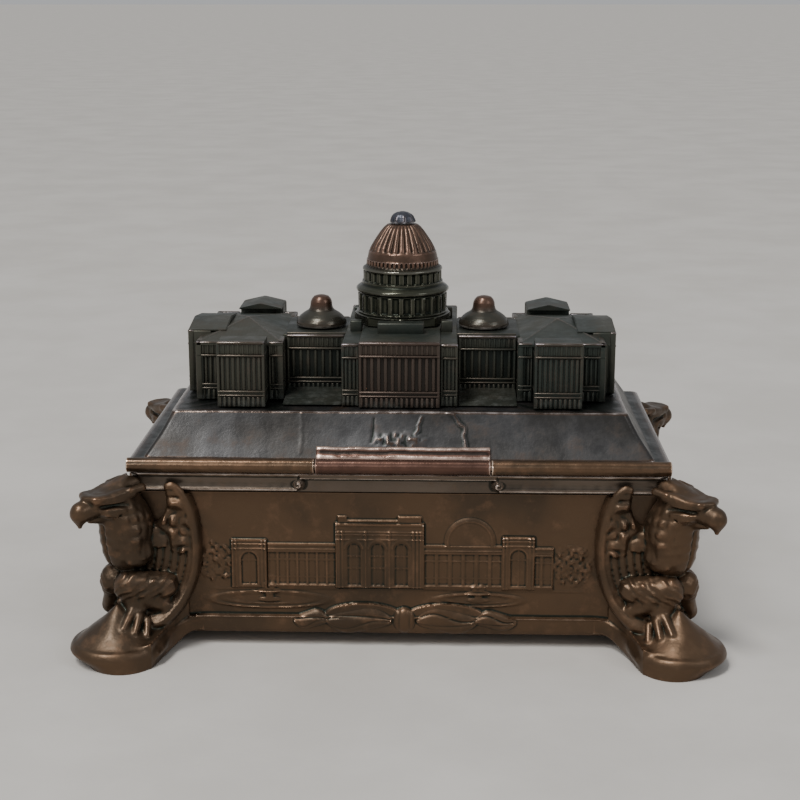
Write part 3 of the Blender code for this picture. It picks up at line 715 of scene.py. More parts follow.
def foot_field(x, y, z):
    """The foot: a round lobe on a smaller sole, which sweeps into the apron of both panels."""
    lift = smoothstep(0.0, 3.4, z)
    cx = SOLE_CENTRE[0] + (FOOT_CENTRE[0] - SOLE_CENTRE[0]) * lift
    cy = SOLE_CENTRE[1] + (FOOT_CENTRE[1] - SOLE_CENTRE[1]) * lift
    radius = SOLE_RADIUS + (FOOT_RADIUS - SOLE_RADIUS) * lift
    lobe = np.hypot(x - cx, y - cy) - radius
    dx, dy = FOOT_CENTRE[0] - WALL_X, FOOT_CENTRE[1] - WALL_Y
    length = math.hypot(dx, dy)
    outward = ((x - FOOT_CENTRE[0]) * dx + (y - FOOT_CENTRE[1]) * dy) / length
    across = ((x - FOOT_CENTRE[0]) * dy - (y - FOOT_CENTRE[1]) * dx) / length
    bullet = np.hypot(np.maximum(outward, 0.0), across)
    stem = np.maximum(np.maximum(bullet - FOOT_RADIUS + 0.25 * np.maximum(-outward, 0.0), 3.0 - z), outward)
    plan = blend_min(lobe, stem, 1.5)
    depth = FOOT_RADIUS - bullet
    rim = 0.5 * swell(depth - 0.9, 0.7)
    ripple = 0.30 * value_noise(x, y, z, 3.4, 5) * smoothstep(1.0, 5.0, depth)
    top = 3.7 + 0.84 * np.clip(depth, 0.0, 12.0) + rim + ripple
    foot = blend_max(plan, (z - top) * 0.75, 0.8)
    for wall, along_wall, shift, share in (
        (y - WALL_Y, WALL_X - x, 0.0, 1.0), (x - WALL_X, WALL_Y - y, 4.2, 0.6),
    ):
        u = along_wall + shift
        reach = 0.95 + share * 11.0 * np.clip((15.0 - u) / 8.5, 0.0, 1.15) ** 2.4
        low = 4.0 * smoothstep(5.5, 14.5, u)
        ridge = np.interp(u, (-6.0, -0.9, 3.6, 8.3, 13.2, 16.0), (4.2, 4.7, 5.8, 7.9, 13.4, 19.5))
        band_top = np.interp(u, (0.0, 3.6, 9.4, 12.9, 15.0), (4.6, 5.0, 6.1, 7.6, 8.2))
        cove = smoothstep(band_top - 0.2, band_top + 0.5, z) * smoothstep(5.0, 9.0, u)
        reach = reach - 0.9 * cove
        flare = np.maximum(np.maximum(wall - reach, u - 16.5), np.maximum(low - z, z - ridge))
        flare = np.maximum(flare, np.maximum(-3.0 - along_wall, -2.0 - wall))
        foot = blend_min(foot, flare * 0.8, 1.1)
    return foot


def corner_field(x, y, z):
    """The whole corner casting, cut clear of the walls, of the rim and of the ground."""
    u, v = x - WALL_X, y - WALL_Y
    d = (u + v) / math.sqrt(2.0)
    a = np.abs(u - v) / math.sqrt(2.0)
    s = (a - d) / math.sqrt(2.0)
    n = (a + d) / math.sqrt(2.0)
    field = foot_field(x, y, z)
    field = blend_min(field, wing_field(s, n, z), 0.45)
    field = blend_min(field, leg_field(s, n, z), 0.6)
    field = blend_min(field, bird_field(d, a, z), 0.6)
    field = np.where(v > u, blend_min(field, claws(s, n, z), 0.7), field)
    field = field + 0.05 * value_noise(x, y, z, 3.3, 10)
    box = np.maximum(u - GAP, v - GAP)
    past_x = np.maximum(x - RIM_HIGH[0] + RIM_CORNER_RADIUS, 0.0)
    past_y = np.maximum(y - RIM_HIGH[1] + RIM_CORNER_RADIUS, 0.0)
    rim_plan = np.hypot(past_x, past_y) - RIM_CORNER_RADIUS
    rim_zone = np.maximum(rim_plan - GAP, RIM_LOW[2] - 0.4 - z)
    field = np.maximum(field, -box)
    field = np.maximum(field, -rim_zone)
    return np.maximum(field, -z)


def corner_castings():
    """One corner casting, polygonised once and mirrored to the other three corners."""
    step = 0.38
    around_corner = (47.5, 20.5, -1.0), (83.5, 60.5, 47.4)
    points, faces = outer_surface(*surface_net(corner_field, *around_corner, step))
    points[:, 2] = np.maximum(points[:, 2], 0.0)
    mesh = mesh_from("corner_casting", points, faces)
    mark_wear_and_sheen(mesh, 0.16)
    for end, sign_y in (("rear", -1), ("front", 1)):
        for side, sign_x in (("left", -1), ("right", 1)):
            name = f"eagle_{end}_{side}"
            copy = mirrored_mesh(mesh, name, sign_x, sign_y)
            place(name, copy, BRONZE, "base", [f"corner_eagle_{end}_{side}"])


corner_castings()


# ---------------------------------------------------------------- relief panels

def inside_box(x, z, x0, x1, z0, z1, soft=0.17):
    """1 inside the rectangle and 0 outside, with a soft border."""
    gap = np.minimum(np.minimum(x - x0, x1 - x), np.minimum(z - z0, z1 - z))
    return smoothstep(-soft, soft, gap)


def arch(x, z, middle, half, z0, crown):
    """1 inside an opening with a round head."""
    spring = crown - half
    soft = 0.16
    gap = np.where(z > spring, half - np.hypot(x - middle, z - spring),
                   np.minimum(half - np.abs(x - middle), z - z0))
    return smoothstep(-soft, soft, gap)


def ring_line(x, z, middle, centre_z, half_x, half_z, width):
    """A raised line along an ellipse."""
    q = np.hypot((x - middle) / half_x, (z - centre_z) / half_z)
    return swell((q - 1.0) * min(half_x, half_z), width)


def edge_line(x, z, x0, x1, z0, z1, width=0.22):
    """A raised line along the border of a rectangle."""
    gap = np.minimum(np.minimum(x - x0, x1 - x), np.minimum(z - z0, z1 - z))
    return swell(gap, width)


def arcade(x, z, x0, x1, bays, z0, top):
    """A low wing of the pictured station: columns between recessed bays, under a cornice."""
    mass = inside_box(x, z, x0, x1, z0 - 0.6, top)
    pitch = (x1 - x0) / bays
    column = np.abs(((x - x0) / pitch) % 1.0 - 0.5)
    bay = smoothstep(0.42, 0.33, column) * inside_box(x, z, x0, x1, z0 + 0.6, top - 2.4, 0.2)
    h = 0.50 * mass - 0.34 * bay
    transom = swell(z - (z0 + 0.62 * (top - z0)), 0.18) + 0.6 * swell(z - (z0 + 2.4), 0.16)
    h = h + 0.22 * transom * bay
    for line in (top - 0.30, top - 1.5, top - 2.1, z0 + 0.2):
        h = h + 0.28 * swell(z - line, 0.2) * mass
    return h


def pavilion(x, z, x0, x1, z0, top, opening):
    """A taller block of the pictured station, with one arched doorway."""
    mass = inside_box(x, z, x0, x1, z0 - 0.6, top)
    middle = (x0 + x1) / 2
    hole = arch(x, z, middle, opening, z0 + 0.4, top - 3.4)
    h = 0.66 * mass - 0.42 * hole
    surround = arch(x, z, middle, opening + 0.55, z0 - 0.2, top - 2.85) - hole
    h = h + 0.16 * surround
    h = h + 0.18 * (swell(z - (z0 + 0.55 * (top - z0)), 0.18) + swell(x - middle, 0.2)) * hole
    for line in (top - 0.3, top - 1.2, top - 2.4):
        h = h + 0.30 * swell(z - line, 0.2) * mass
    for edge in (x0 + 0.25, x0 + 1.2, x1 - 1.2, x1 - 0.25):
        h = h + 0.24 * swell(x - edge, 0.22) * mass
    return h


def tree(x, z, middle, centre_z, half_x, half_z, seed):
    """A round crown of small leaves."""
    q = np.hypot((x - middle) / half_x, (z - centre_z) / half_z)
    leaves = value_noise(x, z, 0.0, 1.1, seed) + 0.6 * value_noise(x, z, 3.0, 0.6, seed + 1)
    return smoothstep(1.05 + 0.15 * leaves, 0.75, q) * (0.30 + 0.42 * leaves)


def fountain(x, z, middle, water_z, half, top):
    """A pool with a double rim, and a bowl on a foot with two short jets."""
    h = 0.46 * ring_line(x, z, middle, water_z, half, half * 0.13 + 0.3, 0.22)
    h = h + 0.30 * ring_line(x, z, middle, water_z + 0.3, half * 0.80, half * 0.085 + 0.2, 0.2)
    basin_z = (water_z + top) / 2
    stem = inside_box(x, z, middle - 0.9, middle + 0.9, water_z - 0.4, basin_z)
    bowl = np.exp(-(np.hypot((x - middle) / 2.9, (z - basin_z) / 0.80)) ** 8)
    foot = np.exp(-(np.hypot((x - middle) / 2.9, (z - water_z) / 0.65)) ** 8)
    h = h + 0.60 * np.maximum(stem, np.maximum(bowl, foot))
    for shift in (-0.8, 0.8):
        jet = np.hypot((x - middle - shift) / 0.95, (z - basin_z - 1.5) / 1.0)
        h = h + 0.40 * np.exp(-jet ** 6)
    return h


STATION_BASE = 16.2
BLOCK_LEFT, BLOCK_RIGHT, BLOCK_TOP = -15.9, 6.6, 33.2
BLOCK_ARCHES = (-11.2, -5.2, 0.8)
BLOCK_COLUMNS = (-15.0, -14.1, -8.2, -2.2, 3.9, 4.9, 5.8)
BLOCK_CORNICES = (32.7, 30.9, 30.2, 28.9)
ATTICS = ((-15.2, -13.0, 34.9), (-13.4, 0.4, 34.0), (0.0, 5.9, 35.0))
ROOF_MIDDLE, ROOF_SPRING = 18.2, 28.2


def middle_block(x, z, block):
    """The tall block of the station: three glazed arches between columns, under its cornices."""
    border = edge_line(x, z, BLOCK_LEFT + 0.2, BLOCK_RIGHT - 0.2, STATION_BASE - 0.2, BLOCK_TOP - 0.2)
    front = 0.85 * block + 0.20 * border * block
    half, crown = 1.75, 27.8
    for middle in BLOCK_ARCHES:
        hole = arch(x, z, middle, half, STATION_BASE + 0.4, crown)
        front = front - 0.50 * hole
        hood = ring_line(x, z, middle, 26.2, 2.35, 2.35, 0.24) * (z > 26.2)
        front = front + 0.24 * hood * block
        bars = swell(np.abs(x - middle) - 0.75, 0.18) + swell(z - 24.4, 0.2) + swell(z - 21.2, 0.2)
        front = front + 0.20 * bars * hole
    for column in BLOCK_COLUMNS:
        front = front + 0.30 * swell(x - column, 0.26) * (z < 31.2) * block
    for line in BLOCK_CORNICES:
        front = front + 0.26 * swell(z - line, 0.2) * block
    return front


def vaulted_roof(x, z):
    """The end of the vault that shows over the right colonnade."""
    roof = 0.45 * smoothstep(0.2, -0.2, np.hypot(x - ROOF_MIDDLE, z - ROOF_SPRING) - 6.4) * (z > 27.2)
    return roof + 0.28 * ring_line(x, z, ROOF_MIDDLE, ROOF_SPRING, 5.6, 5.6, 0.25) * (z > 27.4)


def station_relief(x, z):
    """A long classical station: side pavilions, colonnades and a tall middle block with three arches."""
    base = STATION_BASE
    block = inside_box(x, z, BLOCK_LEFT, BLOCK_RIGHT, base - 0.4, BLOCK_TOP)
    h = np.maximum(middle_block(x, z, block), vaulted_roof(x, z) * (1.0 - block))
    for x0, x1, bays, top in ((-33.2, -15.6, 7, 27.6), (6.4, 26.6, 6, 27.4), (33.4, 39.3, 2, 27.0)):
        h = np.maximum(h, arcade(x, z, x0, x1, bays, base, top))
    for x0, x1, top in ((-42.4, -33.4, 28.6), (26.4, 34.6, 29.8)):
        h = np.maximum(h, pavilion(x, z, x0, x1, base, top, 2.0))
    for x0, x1, top in ATTICS:
        attic = inside_box(x, z, x0, x1, 32.9, top, 0.25)
        h = np.maximum(h, attic * (0.55 + 0.25 * edge_line(x, z, x0, x1, 30.0, top - 0.1, 0.25)))
    h = np.maximum(h, tree(x, z, -46.0, 22.5, 4.4, 6.2, 11))
    h = np.maximum(h, tree(x, z, 44.2, 22.0, 5.2, 5.6, 17))
    ground = swell(z - (base - 0.7 - 0.006 * np.abs(x)), 0.2)
    h = h + 0.26 * ground * smoothstep(49.0, 45.0, np.abs(x))
    for middle, water_z, half, top in ((-32.9, 12.4, 14.6, 17.2), (20.4, 12.7, 11.0, 16.6)):
        h = h + 0.85 * fountain(x, z, middle, water_z, half, top)
    return h


RIBBON = ((-26.8, -17.6, 2.5), (-18.6, -1.4, 3.6), (4.6, 20.4, 3.6), (19.4, 30.4, 2.5))
KNOT_X = 1.6


def ribbon_ornament(x, z):
    """A row of twisted ribbon leaves tied by a knot, laid over the apron."""
    middle_z = 7.2
    h = np.zeros_like(x)
    for x0, x1, half in RIBBON:
        c, reach = (x0 + x1) / 2, (x1 - x0) / 2
        t = (x - c) / reach
        profile = half * np.clip(1.0 - np.abs(t) ** 2.2, 0.0, 1.0) ** 0.62
        lean = 0.5 * np.sin(math.pi * t) * (1.0 if x0 < 0 else -1.0)
        v = (z - middle_z - lean) / np.maximum(profile, 0.05)
        leaf = np.clip(1.0 - v * v, 0.0, 1.0) ** 0.5 * smoothstep(0.0, 0.6, profile)
        groove = 0.40 * swell(v - 0.30 + 0.18 * np.sin(2.6 * t), 0.12)
        groove = groove + 0.25 * swell(v + 0.35 - 0.18 * np.sin(2.6 * t), 0.10)
        h = np.maximum(h, leaf * (1.55 - groove - 0.25 * v))
    knot = np.clip(1.0 - np.hypot((x - KNOT_X) / 3.1, (z - middle_z) / 3.5) ** 2.5, 0.0, 1.0) ** 0.5
    strap = 0.30 * swell(np.abs(x - KNOT_X) - 1.3, 0.35)
    h = np.maximum(h, knot * (1.95 - strap))
    for shift in (-1, 1):
        q = np.hypot((x - KNOT_X - shift * 10.5) / 10.2, (z - 8.2) / 3.6)
        h = np.maximum(h, 0.75 * smoothstep(1.02, 0.94, q) * (z > 8.2))
    return h


APRON_HEIGHT = 8.3


def panel_height(x, z, half, apron_half, relief):
    """How far the panel's face stands proud of its plane."""
    edge = smoothstep(apron_half, half - 1.0, np.abs(x))
    apron_line = APRON_HEIGHT - 2.0 * edge
    h = 0.95 * smoothstep(apron_line + 0.25, apron_line - 0.25, z)
    h = h + 0.30 * swell(z - (apron_line - 0.1), 0.3)
    h = h - 0.35 * smoothstep(PANEL_BOTTOM + 0.9, PANEL_BOTTOM, z)
    if relief:
        h = h + 0.78 * station_relief(x, z)
        h = np.maximum(h, ribbon_ornament(x, z))
    else:
        h = np.maximum(h, 0.8 * ribbon_ornament(x * 1.55 + KNOT_X, z))
    sway = 0.10 * value_noise(x, z, 0.0, 14.0, 21) + 0.035 * value_noise(x, z, 0.0, 2.2, 22)
    return h + sway


def panel_mesh(name, half, apron_half, wall, wall_plane, relief):
    """A plate standing at y = -wall_plane that faces -Y, with its relief on the outside."""
    step = 0.25
    columns = int(2 * half / step) + 1
    rows = int((PANEL_TOP - PANEL_BOTTOM) / step) + 1
    xs = np.linspace(-half, half, columns)
    zs = np.linspace(PANEL_BOTTOM, PANEL_TOP, rows)
    z, x = np.meshgrid(zs, xs, indexing="ij")
    h = panel_height(x, z, half, apron_half, relief)
    border = np.minimum(half - np.abs(x), PANEL_TOP - z)
    h = h * smoothstep(0.0, 0.6, border)
    front = np.stack([x, -wall_plane - h, z], axis=-1).reshape(-1, 3)
    back_x = np.array([-half, half])
    back = [(bx, -wall_plane + wall, bz) for bz in (PANEL_BOTTOM, PANEL_TOP) for bx in back_x]
    count = rows * columns
    faces = [tuple(f[::-1]) for f in grid_faces(rows, columns)]
    low_left, low_right, high_left, high_right = (count + i for i in range(4))
    bottom_row = list(range(columns))
    top_row = list(range((rows - 1) * columns, count))
    left = [r * columns for r in range(rows)]
    right = [r * columns + columns - 1 for r in range(rows)]
    faces.append(tuple(bottom_row[::-1] + [low_left, low_right]))
    faces.append(tuple(top_row + [high_right, high_left]))
    faces.append(tuple(left + [high_left, low_left]))
    faces.append(tuple(right[::-1] + [low_right, high_right]))
    faces.append((low_left, high_left, high_right, low_right))
    mesh = mesh_from(name, np.concatenate([front, back]), faces)
    mesh.set_sharp_from_angle(angle=math.radians(50))
    mark_wear_and_sheen(mesh, 0.12)
    return mesh


def panels():
    """Two long panels with the picture, and two end panels with a ribbon only."""
    wall = 2.5
    long_mesh = panel_mesh("long_panel", WALL_X, 49.0, wall, WALL_Y, True)
    for name, turn in (("panel_rear", 0.0), ("panel_front", math.pi)):
        mesh = long_mesh.copy()
        mesh.transform(Matrix.Rotation(turn, 4, "Z"))
        place(f"relief_{name}", mesh, BRONZE, "base", [name])
    side_mesh = panel_mesh("side_panel", 35.7, 21.5, wall, WALL_X, False)
    for name, turn in (("panel_left", -math.pi / 2), ("panel_right", math.pi / 2)):
        mesh = side_mesh.copy()
        mesh.transform(Matrix.Rotation(turn, 4, "Z"))
        place(f"relief_{name}", mesh, BRONZE, "base", [name])


panels()


# ---------------------------------------------------------------- rim frame and its moulding

def rounded_ring(half_x, y_low, y_high, radius, count_x=420, count_y=230, count_corner=8):
    """Points round a rectangle with rounded corners, anticlockwise from the rear left corner."""
    x_side = np.linspace(-half_x + radius, half_x - radius, count_x)
    y_side = np.linspace(y_low + radius, y_high - radius, count_y)
    parts = [np.stack([x_side, np.full(count_x, y_low)], axis=1)]
    corners = ((half_x - radius, y_low + radius, -90.0), (half_x - radius, y_high - radius, 0.0),
               (-half_x + radius, y_high - radius, 90.0), (-half_x + radius, y_low + radius, 180.0))
    sides = (
        np.stack([np.full(count_y, half_x), y_side], axis=1),
        np.stack([x_side[::-1], np.full(count_x, y_high)], axis=1),
        np.stack([np.full(count_y, -half_x), y_side[::-1]], axis=1),
        None,
    )
    for (cx, cy, start), side in zip(corners, sides):
        angle = np.radians(start + 90.0 * np.arange(1, count_corner) / count_corner)
        parts.append(np.stack([cx + radius * np.cos(angle), cy + radius * np.sin(angle)], axis=1))
        if side is not None:
            parts.append(side)
    return np.concatenate(parts)


JOG_X = 24.8                  # where the moulding steps up over the middle of the long sides
MOULDING_FOOT = 41.55
MOULDING_STEP = 3.05
MOULDING_REACH = 1.98
SCROLL_Z = 43.4
RIM_TOP = 46.2


def moulding(x, z, long_side):
    """How far the rim stands out from the panels at height z."""
    centre = smoothstep(JOG_X + 0.5, JOG_X - 0.5, np.abs(x)) * long_side
    u = z - (MOULDING_FOOT + MOULDING_STEP * centre)
    h = 0.04 + 1.30 * smoothstep(-0.1, 0.4, u)
    h = h + 0.40 * swell(u - 0.65, 0.38)
    h = h - 0.30 * swell(u - 2.1, 0.9) * (1.0 - 0.8 * centre)
    h = h + 0.50 * smoothstep(45.3, 45.9, z)
    across, up = np.abs(x) - JOG_X - 0.3, z - SCROLL_Z
    radius = np.hypot(across, up)
    turn = np.arctan2(up, across) / (2.0 * math.pi)
    curl = 0.22 * np.cos(2.0 * math.pi * (radius / 1.1 - turn))
    scroll = np.exp(-(radius / 1.55) ** 4) * long_side
    h = np.maximum(h, (1.70 + curl) * scroll)
    h = h + 0.07 * value_noise(x, z, 1.0, 7.0, 31) + 0.04 * value_noise(x, z, 2.0, 1.6, 32)
    return np.minimum(h, MOULDING_REACH)


def calm_wear_and_sheen(mesh, low, high, limit):
    """Keep the wear-and-sheen level between two heights below a limit, which takes the painted highlight off
    the edges there.
    """
    count = len(mesh.vertices)
    co = np.empty(count * 3, dtype=np.float32)
    wear_and_sheen = np.empty(count, dtype=np.float32)
    mesh.vertices.foreach_get("co", co)
    mesh.attributes["wear_and_sheen"].data.foreach_get("value", wear_and_sheen)
    z = co.reshape(-1, 3)[:, 2] / MM
    calm = (z > low) & (z < high)
    wear_and_sheen[calm] = np.minimum(wear_and_sheen[calm], limit)
    mesh.attributes["wear_and_sheen"].data.foreach_set("value", wear_and_sheen)


def rim_frame():
    """The rim: its moulding outside, a rounded top, and a stepped rebate for the deck inside."""
    radius = RIM_CORNER_RADIUS
    base = rounded_ring(WALL_X, -WALL_Y, WALL_Y, radius)
    centre = rounded_ring(WALL_X - radius, -WALL_Y + radius, WALL_Y - radius, 0.0)
    outward = base - centre
    outward = outward / np.linalg.norm(outward, axis=1, keepdims=True)
    long_side = np.abs(outward[:, 1])
    rings = []
    heights = np.concatenate([[RIM_LOW[2]], np.linspace(RIM_LOW[2] + 0.12, RIM_TOP, 24)])
    for z in heights:
        reach = moulding(base[:, 0], np.full(len(base), z), long_side)
        rings.append(np.column_stack([base + outward * reach[:, None], np.full(len(base), z)]))
    for reach, z in ((1.55, 46.45), (0.9, 46.5), (-0.05, 46.55), (-0.22, 46.7), (-0.24, 47.5), (-0.5, 47.7),
                     (-4.7, 47.7), (-4.95, 47.5), (-4.97, 43.2), (-5.1, 43.0), (-7.3, 43.0), (-7.45, 42.8),
                     (-7.45, 41.5), (-7.3, RIM_LOW[2])):
        corner = radius if reach > -3 else radius / 2
        flat = rounded_ring(WALL_X + reach, -WALL_Y - reach, WALL_Y + reach, corner)
        rings.append(np.column_stack([flat, np.full(len(base), z)]))
    points, faces = loft(rings, wrap=True)
    mesh = mesh_from("rim", points, faces)
    mesh.set_sharp_from_angle(angle=math.radians(55))
    mark_wear_and_sheen(mesh, 0.06)
    # Painted highlight taken off: the rim's foot is held just under the flat level, a little darker with no
    # light line along its join, and its top is toned down.
    calm_wear_and_sheen(mesh, 0.0, RIM_LOW[2] + 0.5, 0.42)
    calm_wear_and_sheen(mesh, 46.52, RIM_HIGH[2] + 1.0, 0.66)
    place("rim_moulding", mesh, RIM_BRONZE, "base", ["rim_frame"])


rim_frame()


# ---------------------------------------------------------------- hinge

HINGE_Y, HINGE_Z = -40.5, 48.5
BEAD_RADIUS = 1.83
BORE_RADIUS = 0.95
LID_REAR = 38.0               # the foot of the lid's rear slope, which leans in by SLOPE_RUN_Y
SLOPE_RUN_Y = 6.5
SLOPE_FOOT = 49.6


def knuckle(name, x0, x1, material, body, node, seed):
    """One rolled stretch of the hinge, with the seam where its sheet closes and slightly beaten ends."""
    columns = 40
    xs = np.concatenate([[x0, x0, x0 + 0.12], np.linspace(x0 + 0.5, x1 - 0.5, int((x1 - x0) / 0.45)),
                         [x1 - 0.12, x1, x1]])
    angle = 2.0 * math.pi * np.arange(columns) / columns
    rings = []
    for i, x in enumerate(xs):
        radius = BEAD_RADIUS + 0.03 * value_noise(x, np.cos(angle) * 3, np.sin(angle) * 3, 2.5, seed)
        turn = (np.degrees(angle) + 0.8 * math.sin(x * 0.4) + 180.0) % 360.0 - 180.0
        radius = radius - 0.14 * swell(turn - 150.0, 9.0)
        radius = radius - 0.06 * swell(turn + 150.0, 12.0)
        if i in (0, len(xs) - 1):
            radius = np.full(columns, BORE_RADIUS)
        elif i in (1, len(xs) - 2):
            radius = radius - 0.22
        rings.append(np.column_stack([
            np.full(columns, x), HINGE_Y + radius * np.cos(angle), HINGE_Z + radius * np.sin(angle)]))
    bore = [np.column_stack([np.full(columns, x), HINGE_Y + BORE_RADIUS * np.cos(angle),
                             HINGE_Z + BORE_RADIUS * np.sin(angle)]) for x in (x1 - 0.2, x0 + 0.2)]
    points, faces = loft(rings + bore, wrap=True)
    mesh = mesh_from(name, points, faces)
    mesh.set_sharp_from_angle(angle=math.radians(60))
    mark_wear_and_sheen(mesh, 0.07)
    place(name, mesh, material, body, [node])


def hinge():
    """The two fixed knuckles and the one that turns with the lid."""
    gap = 0.15
    knuckle("rolled_knuckle_left", KNUCKLE_END, LEAF_LOW[0] - 2 * gap, BRONZE, "base",
            "hinge_knuckle_left", 41)
    knuckle("rolled_knuckle_right", LEAF_HIGH[0] + 2 * gap, -KNUCKLE_END, BRONZE, "base",
            "hinge_knuckle_right", 42)
    knuckle("rolled_knuckle_middle", LEAF_LOW[0], LEAF_HIGH[0], COPPER, "lid",
            "lid_hinge_leaf", 43)


def leaf_strip():
    """The folded strip of the middle hinge leaf, lying up against the lid's rear slope."""
    xs = np.linspace(LEAF_LOW[0], LEAF_HIGH[0], 110)
    slope = SLOPE_RUN_Y / (60.3 - SLOPE_FOOT)
    profile = [
        (0.30, 49.4), (0.95, 49.6), (1.25, 50.1), (1.05, 50.7), (0.75, 51.1), (0.72, 51.6),
        (0.85, 52.0), (0.75, 52.45), (0.42, 52.6), (0.12, 52.5), (0.10, 51.0), (0.10, 49.9),
    ]
    rings = []
    for x in xs:
        end = float(smoothstep(0.0, 0.8, min(x - xs[0], xs[-1] - x)))
        wave = 0.10 * float(value_noise(x, 0.0, 0.0, 5.0, 51))
        ring = []
        for out, z in profile:
            z = z + wave * (z > 50.3) + 0.08 * float(value_noise(x, z, 0.0, 1.5, 52))
            face = slope * max(z - SLOPE_FOOT, 0.0) - LID_REAR - 0.05
            thick = out * (0.75 + 0.25 * end) + 0.06 * float(value_noise(x, z, 5.0, 2.0, 53)) * (out > 0.2)
            ring.append((x, face - thick, min(z, LEAF_HIGH[2])))
        rings.append(ring)
    points, faces = loft(rings)
    mesh = mesh_from("leaf_strip", points, faces)
    mark_wear_and_sheen(mesh, 0.05)
    place("leaf_strip", mesh, COPPER, "lid")


hinge()
leaf_strip()


# ---------------------------------------------------------------- lid

LID_CORNER_X = 64.0           # the foot of the lid's slopes, and how far they lean in by their top
SLOPE_RUN_X = 6.3
SLOPE_RISE = 10.45
PLATEAU = 60.25


def lid_damage(points, normals):
    """Old dents, a ragged seam and creases in the middle of the rear slope."""
    x, y, z = points.T
    rear = smoothstep(-31.0, -32.0, y) * smoothstep(48.9, 50.5, z)
    h = 0.18 * value_noise(x, y, z, 17.0, 61) + 0.05 * value_noise(x, y, z, 3.2, 62)
    blister = np.exp(-(np.hypot((x - 0.5) / 6.5, (z - 53.6) / 1.9)) ** 4)
    h = h + rear * blister * (0.30 + 0.30 * value_noise(x, z, 0.0, 0.9, 63))
    cracks = (
        ([(12.0, 60.2), (14.2, 59.6), (14.9, 58.2), (16.6, 56.8), (16.4, 54.2), (17.0, 51.0)], 0.30),
        ([(-6.4, 58.6), (-6.2, 56.0), (-6.8, 53.6)], -0.22),
        ([(5.6, 59.0), (5.0, 56.4), (4.4, 55.2)], 0.22),
        ([(-24.4, 60.0), (-24.5, 51.0)], 0.07),
    )
    for path, depth in cracks:
        gap, _ = distance_to_path(x + 0.35 * value_noise(z, x, 0.0, 1.1, 64), z, path)
        h = h + rear * depth * swell(gap, 0.30)
    return points + normals * h[:, None]


def lid_shell():
    """The lid: a flange, four slopes that sag in the middle, a plateau and the hollow underneath."""
    # Each row is half the width, the rear and front edges, the height and the corner radius of a ring.
    outer = [
        (68.0, -LID_REAR, 40.4, 48.0, 1.6), (68.2, -LID_REAR, 40.5, 48.15, 1.6),
        (68.2, -LID_REAR, 40.5, 48.5, 1.6), (67.9, -LID_REAR, 40.2, 48.72, 1.6),
        (66.0, -LID_REAR, 39.4, 48.78, 1.4), (64.6, -LID_REAR, 38.5, 48.85, 1.2),
        (64.1, -LID_REAR, 38.1, 49.2, 1.2),
    ]
    rows = 30
    for i in range(rows + 1):
        t = i / rows
        sag = 0.35 * math.sin(math.pi * t)
        lean = SLOPE_RUN_Y * t + sag
        outer.append((LID_CORNER_X - SLOPE_RUN_X * t - sag, lean - LID_REAR, LID_REAR - lean,
                      SLOPE_FOOT + SLOPE_RISE * t, 1.0 + 0.5 * t))
    outer += [
        (57.45, -31.25, 31.25, 60.22, 1.4), (57.1, -30.9, 30.9, 60.3, 1.2), (55.5, -29.5, 29.5, 60.27, 1.0),
        (50.0, -25.0, 25.0, PLATEAU, 1.0), (20.0, -8.0, 8.0, PLATEAU, 1.0),
    ]
    inner = [(20.0, -8.0, 8.0, 58.4, 1.0), (54.5, -28.5, 28.5, 58.4, 1.0), (55.8, -29.6, 29.6, 58.2, 1.2),
             (61.5, -35.7, 35.7, 49.6, 1.2), (62.0, -36.1, 36.1, 49.0, 1.2), (62.1, -36.1, 36.1, 48.0, 1.2)]

    def ring(half_x, y_low, y_high, z, radius):
        flat = rounded_ring(half_x, y_low, y_high, radius, 300, 170, 8)
        return np.column_stack([flat, np.full(len(flat), z)])

    outer_rings = [ring(*row) for row in outer]
    inner_rings = [ring(*row) for row in inner]
    points, faces = loft(outer_rings)
    count = len(outer_rings[0])
    inner_points, inner_faces = loft(inner_rings)
    start = len(points)
    faces = faces[:-2] + [faces[-1]]
    faces += [tuple(i + start for i in f) for f in inner_faces[:-2]]
    faces.append(tuple(start + i for i in range(count)))
    last = start + len(inner_points) - count
    faces += [(i, (i + 1) % count, last + (i + 1) % count, last + i) for i in range(count)]
    points = np.concatenate([points, inner_points])
    mesh = mesh_from("lid", points, faces)
    normals = np.empty(len(mesh.vertices) * 3)
    mesh.vertices.foreach_get("normal", normals)
    normals = normals.reshape(-1, 3)
    outside = np.arange(len(points)) < start
    flange = points[:, 2] < 49.0
    moved = lid_damage(points, normals)
    moved = np.where((outside & ~flange)[:, None], moved, points)
    moved[:, 2] = np.minimum(moved[:, 2], 60.45)
    mesh.vertices.foreach_set("co", (moved * MM).ravel().astype(np.float32))
    mesh.update()
    mesh.set_sharp_from_angle(angle=math.radians(60))
    mark_wear_and_sheen(mesh, 0.06)
    # Painted highlight toned down on the flange.
    calm_wear_and_sheen(mesh, 47.0, 48.6, 0.60)
    place("lid_cover", mesh, LID_BRONZE, "lid", ["lid_shell"])


lid_shell()


# ---------------------------------------------------------------- building on the lid

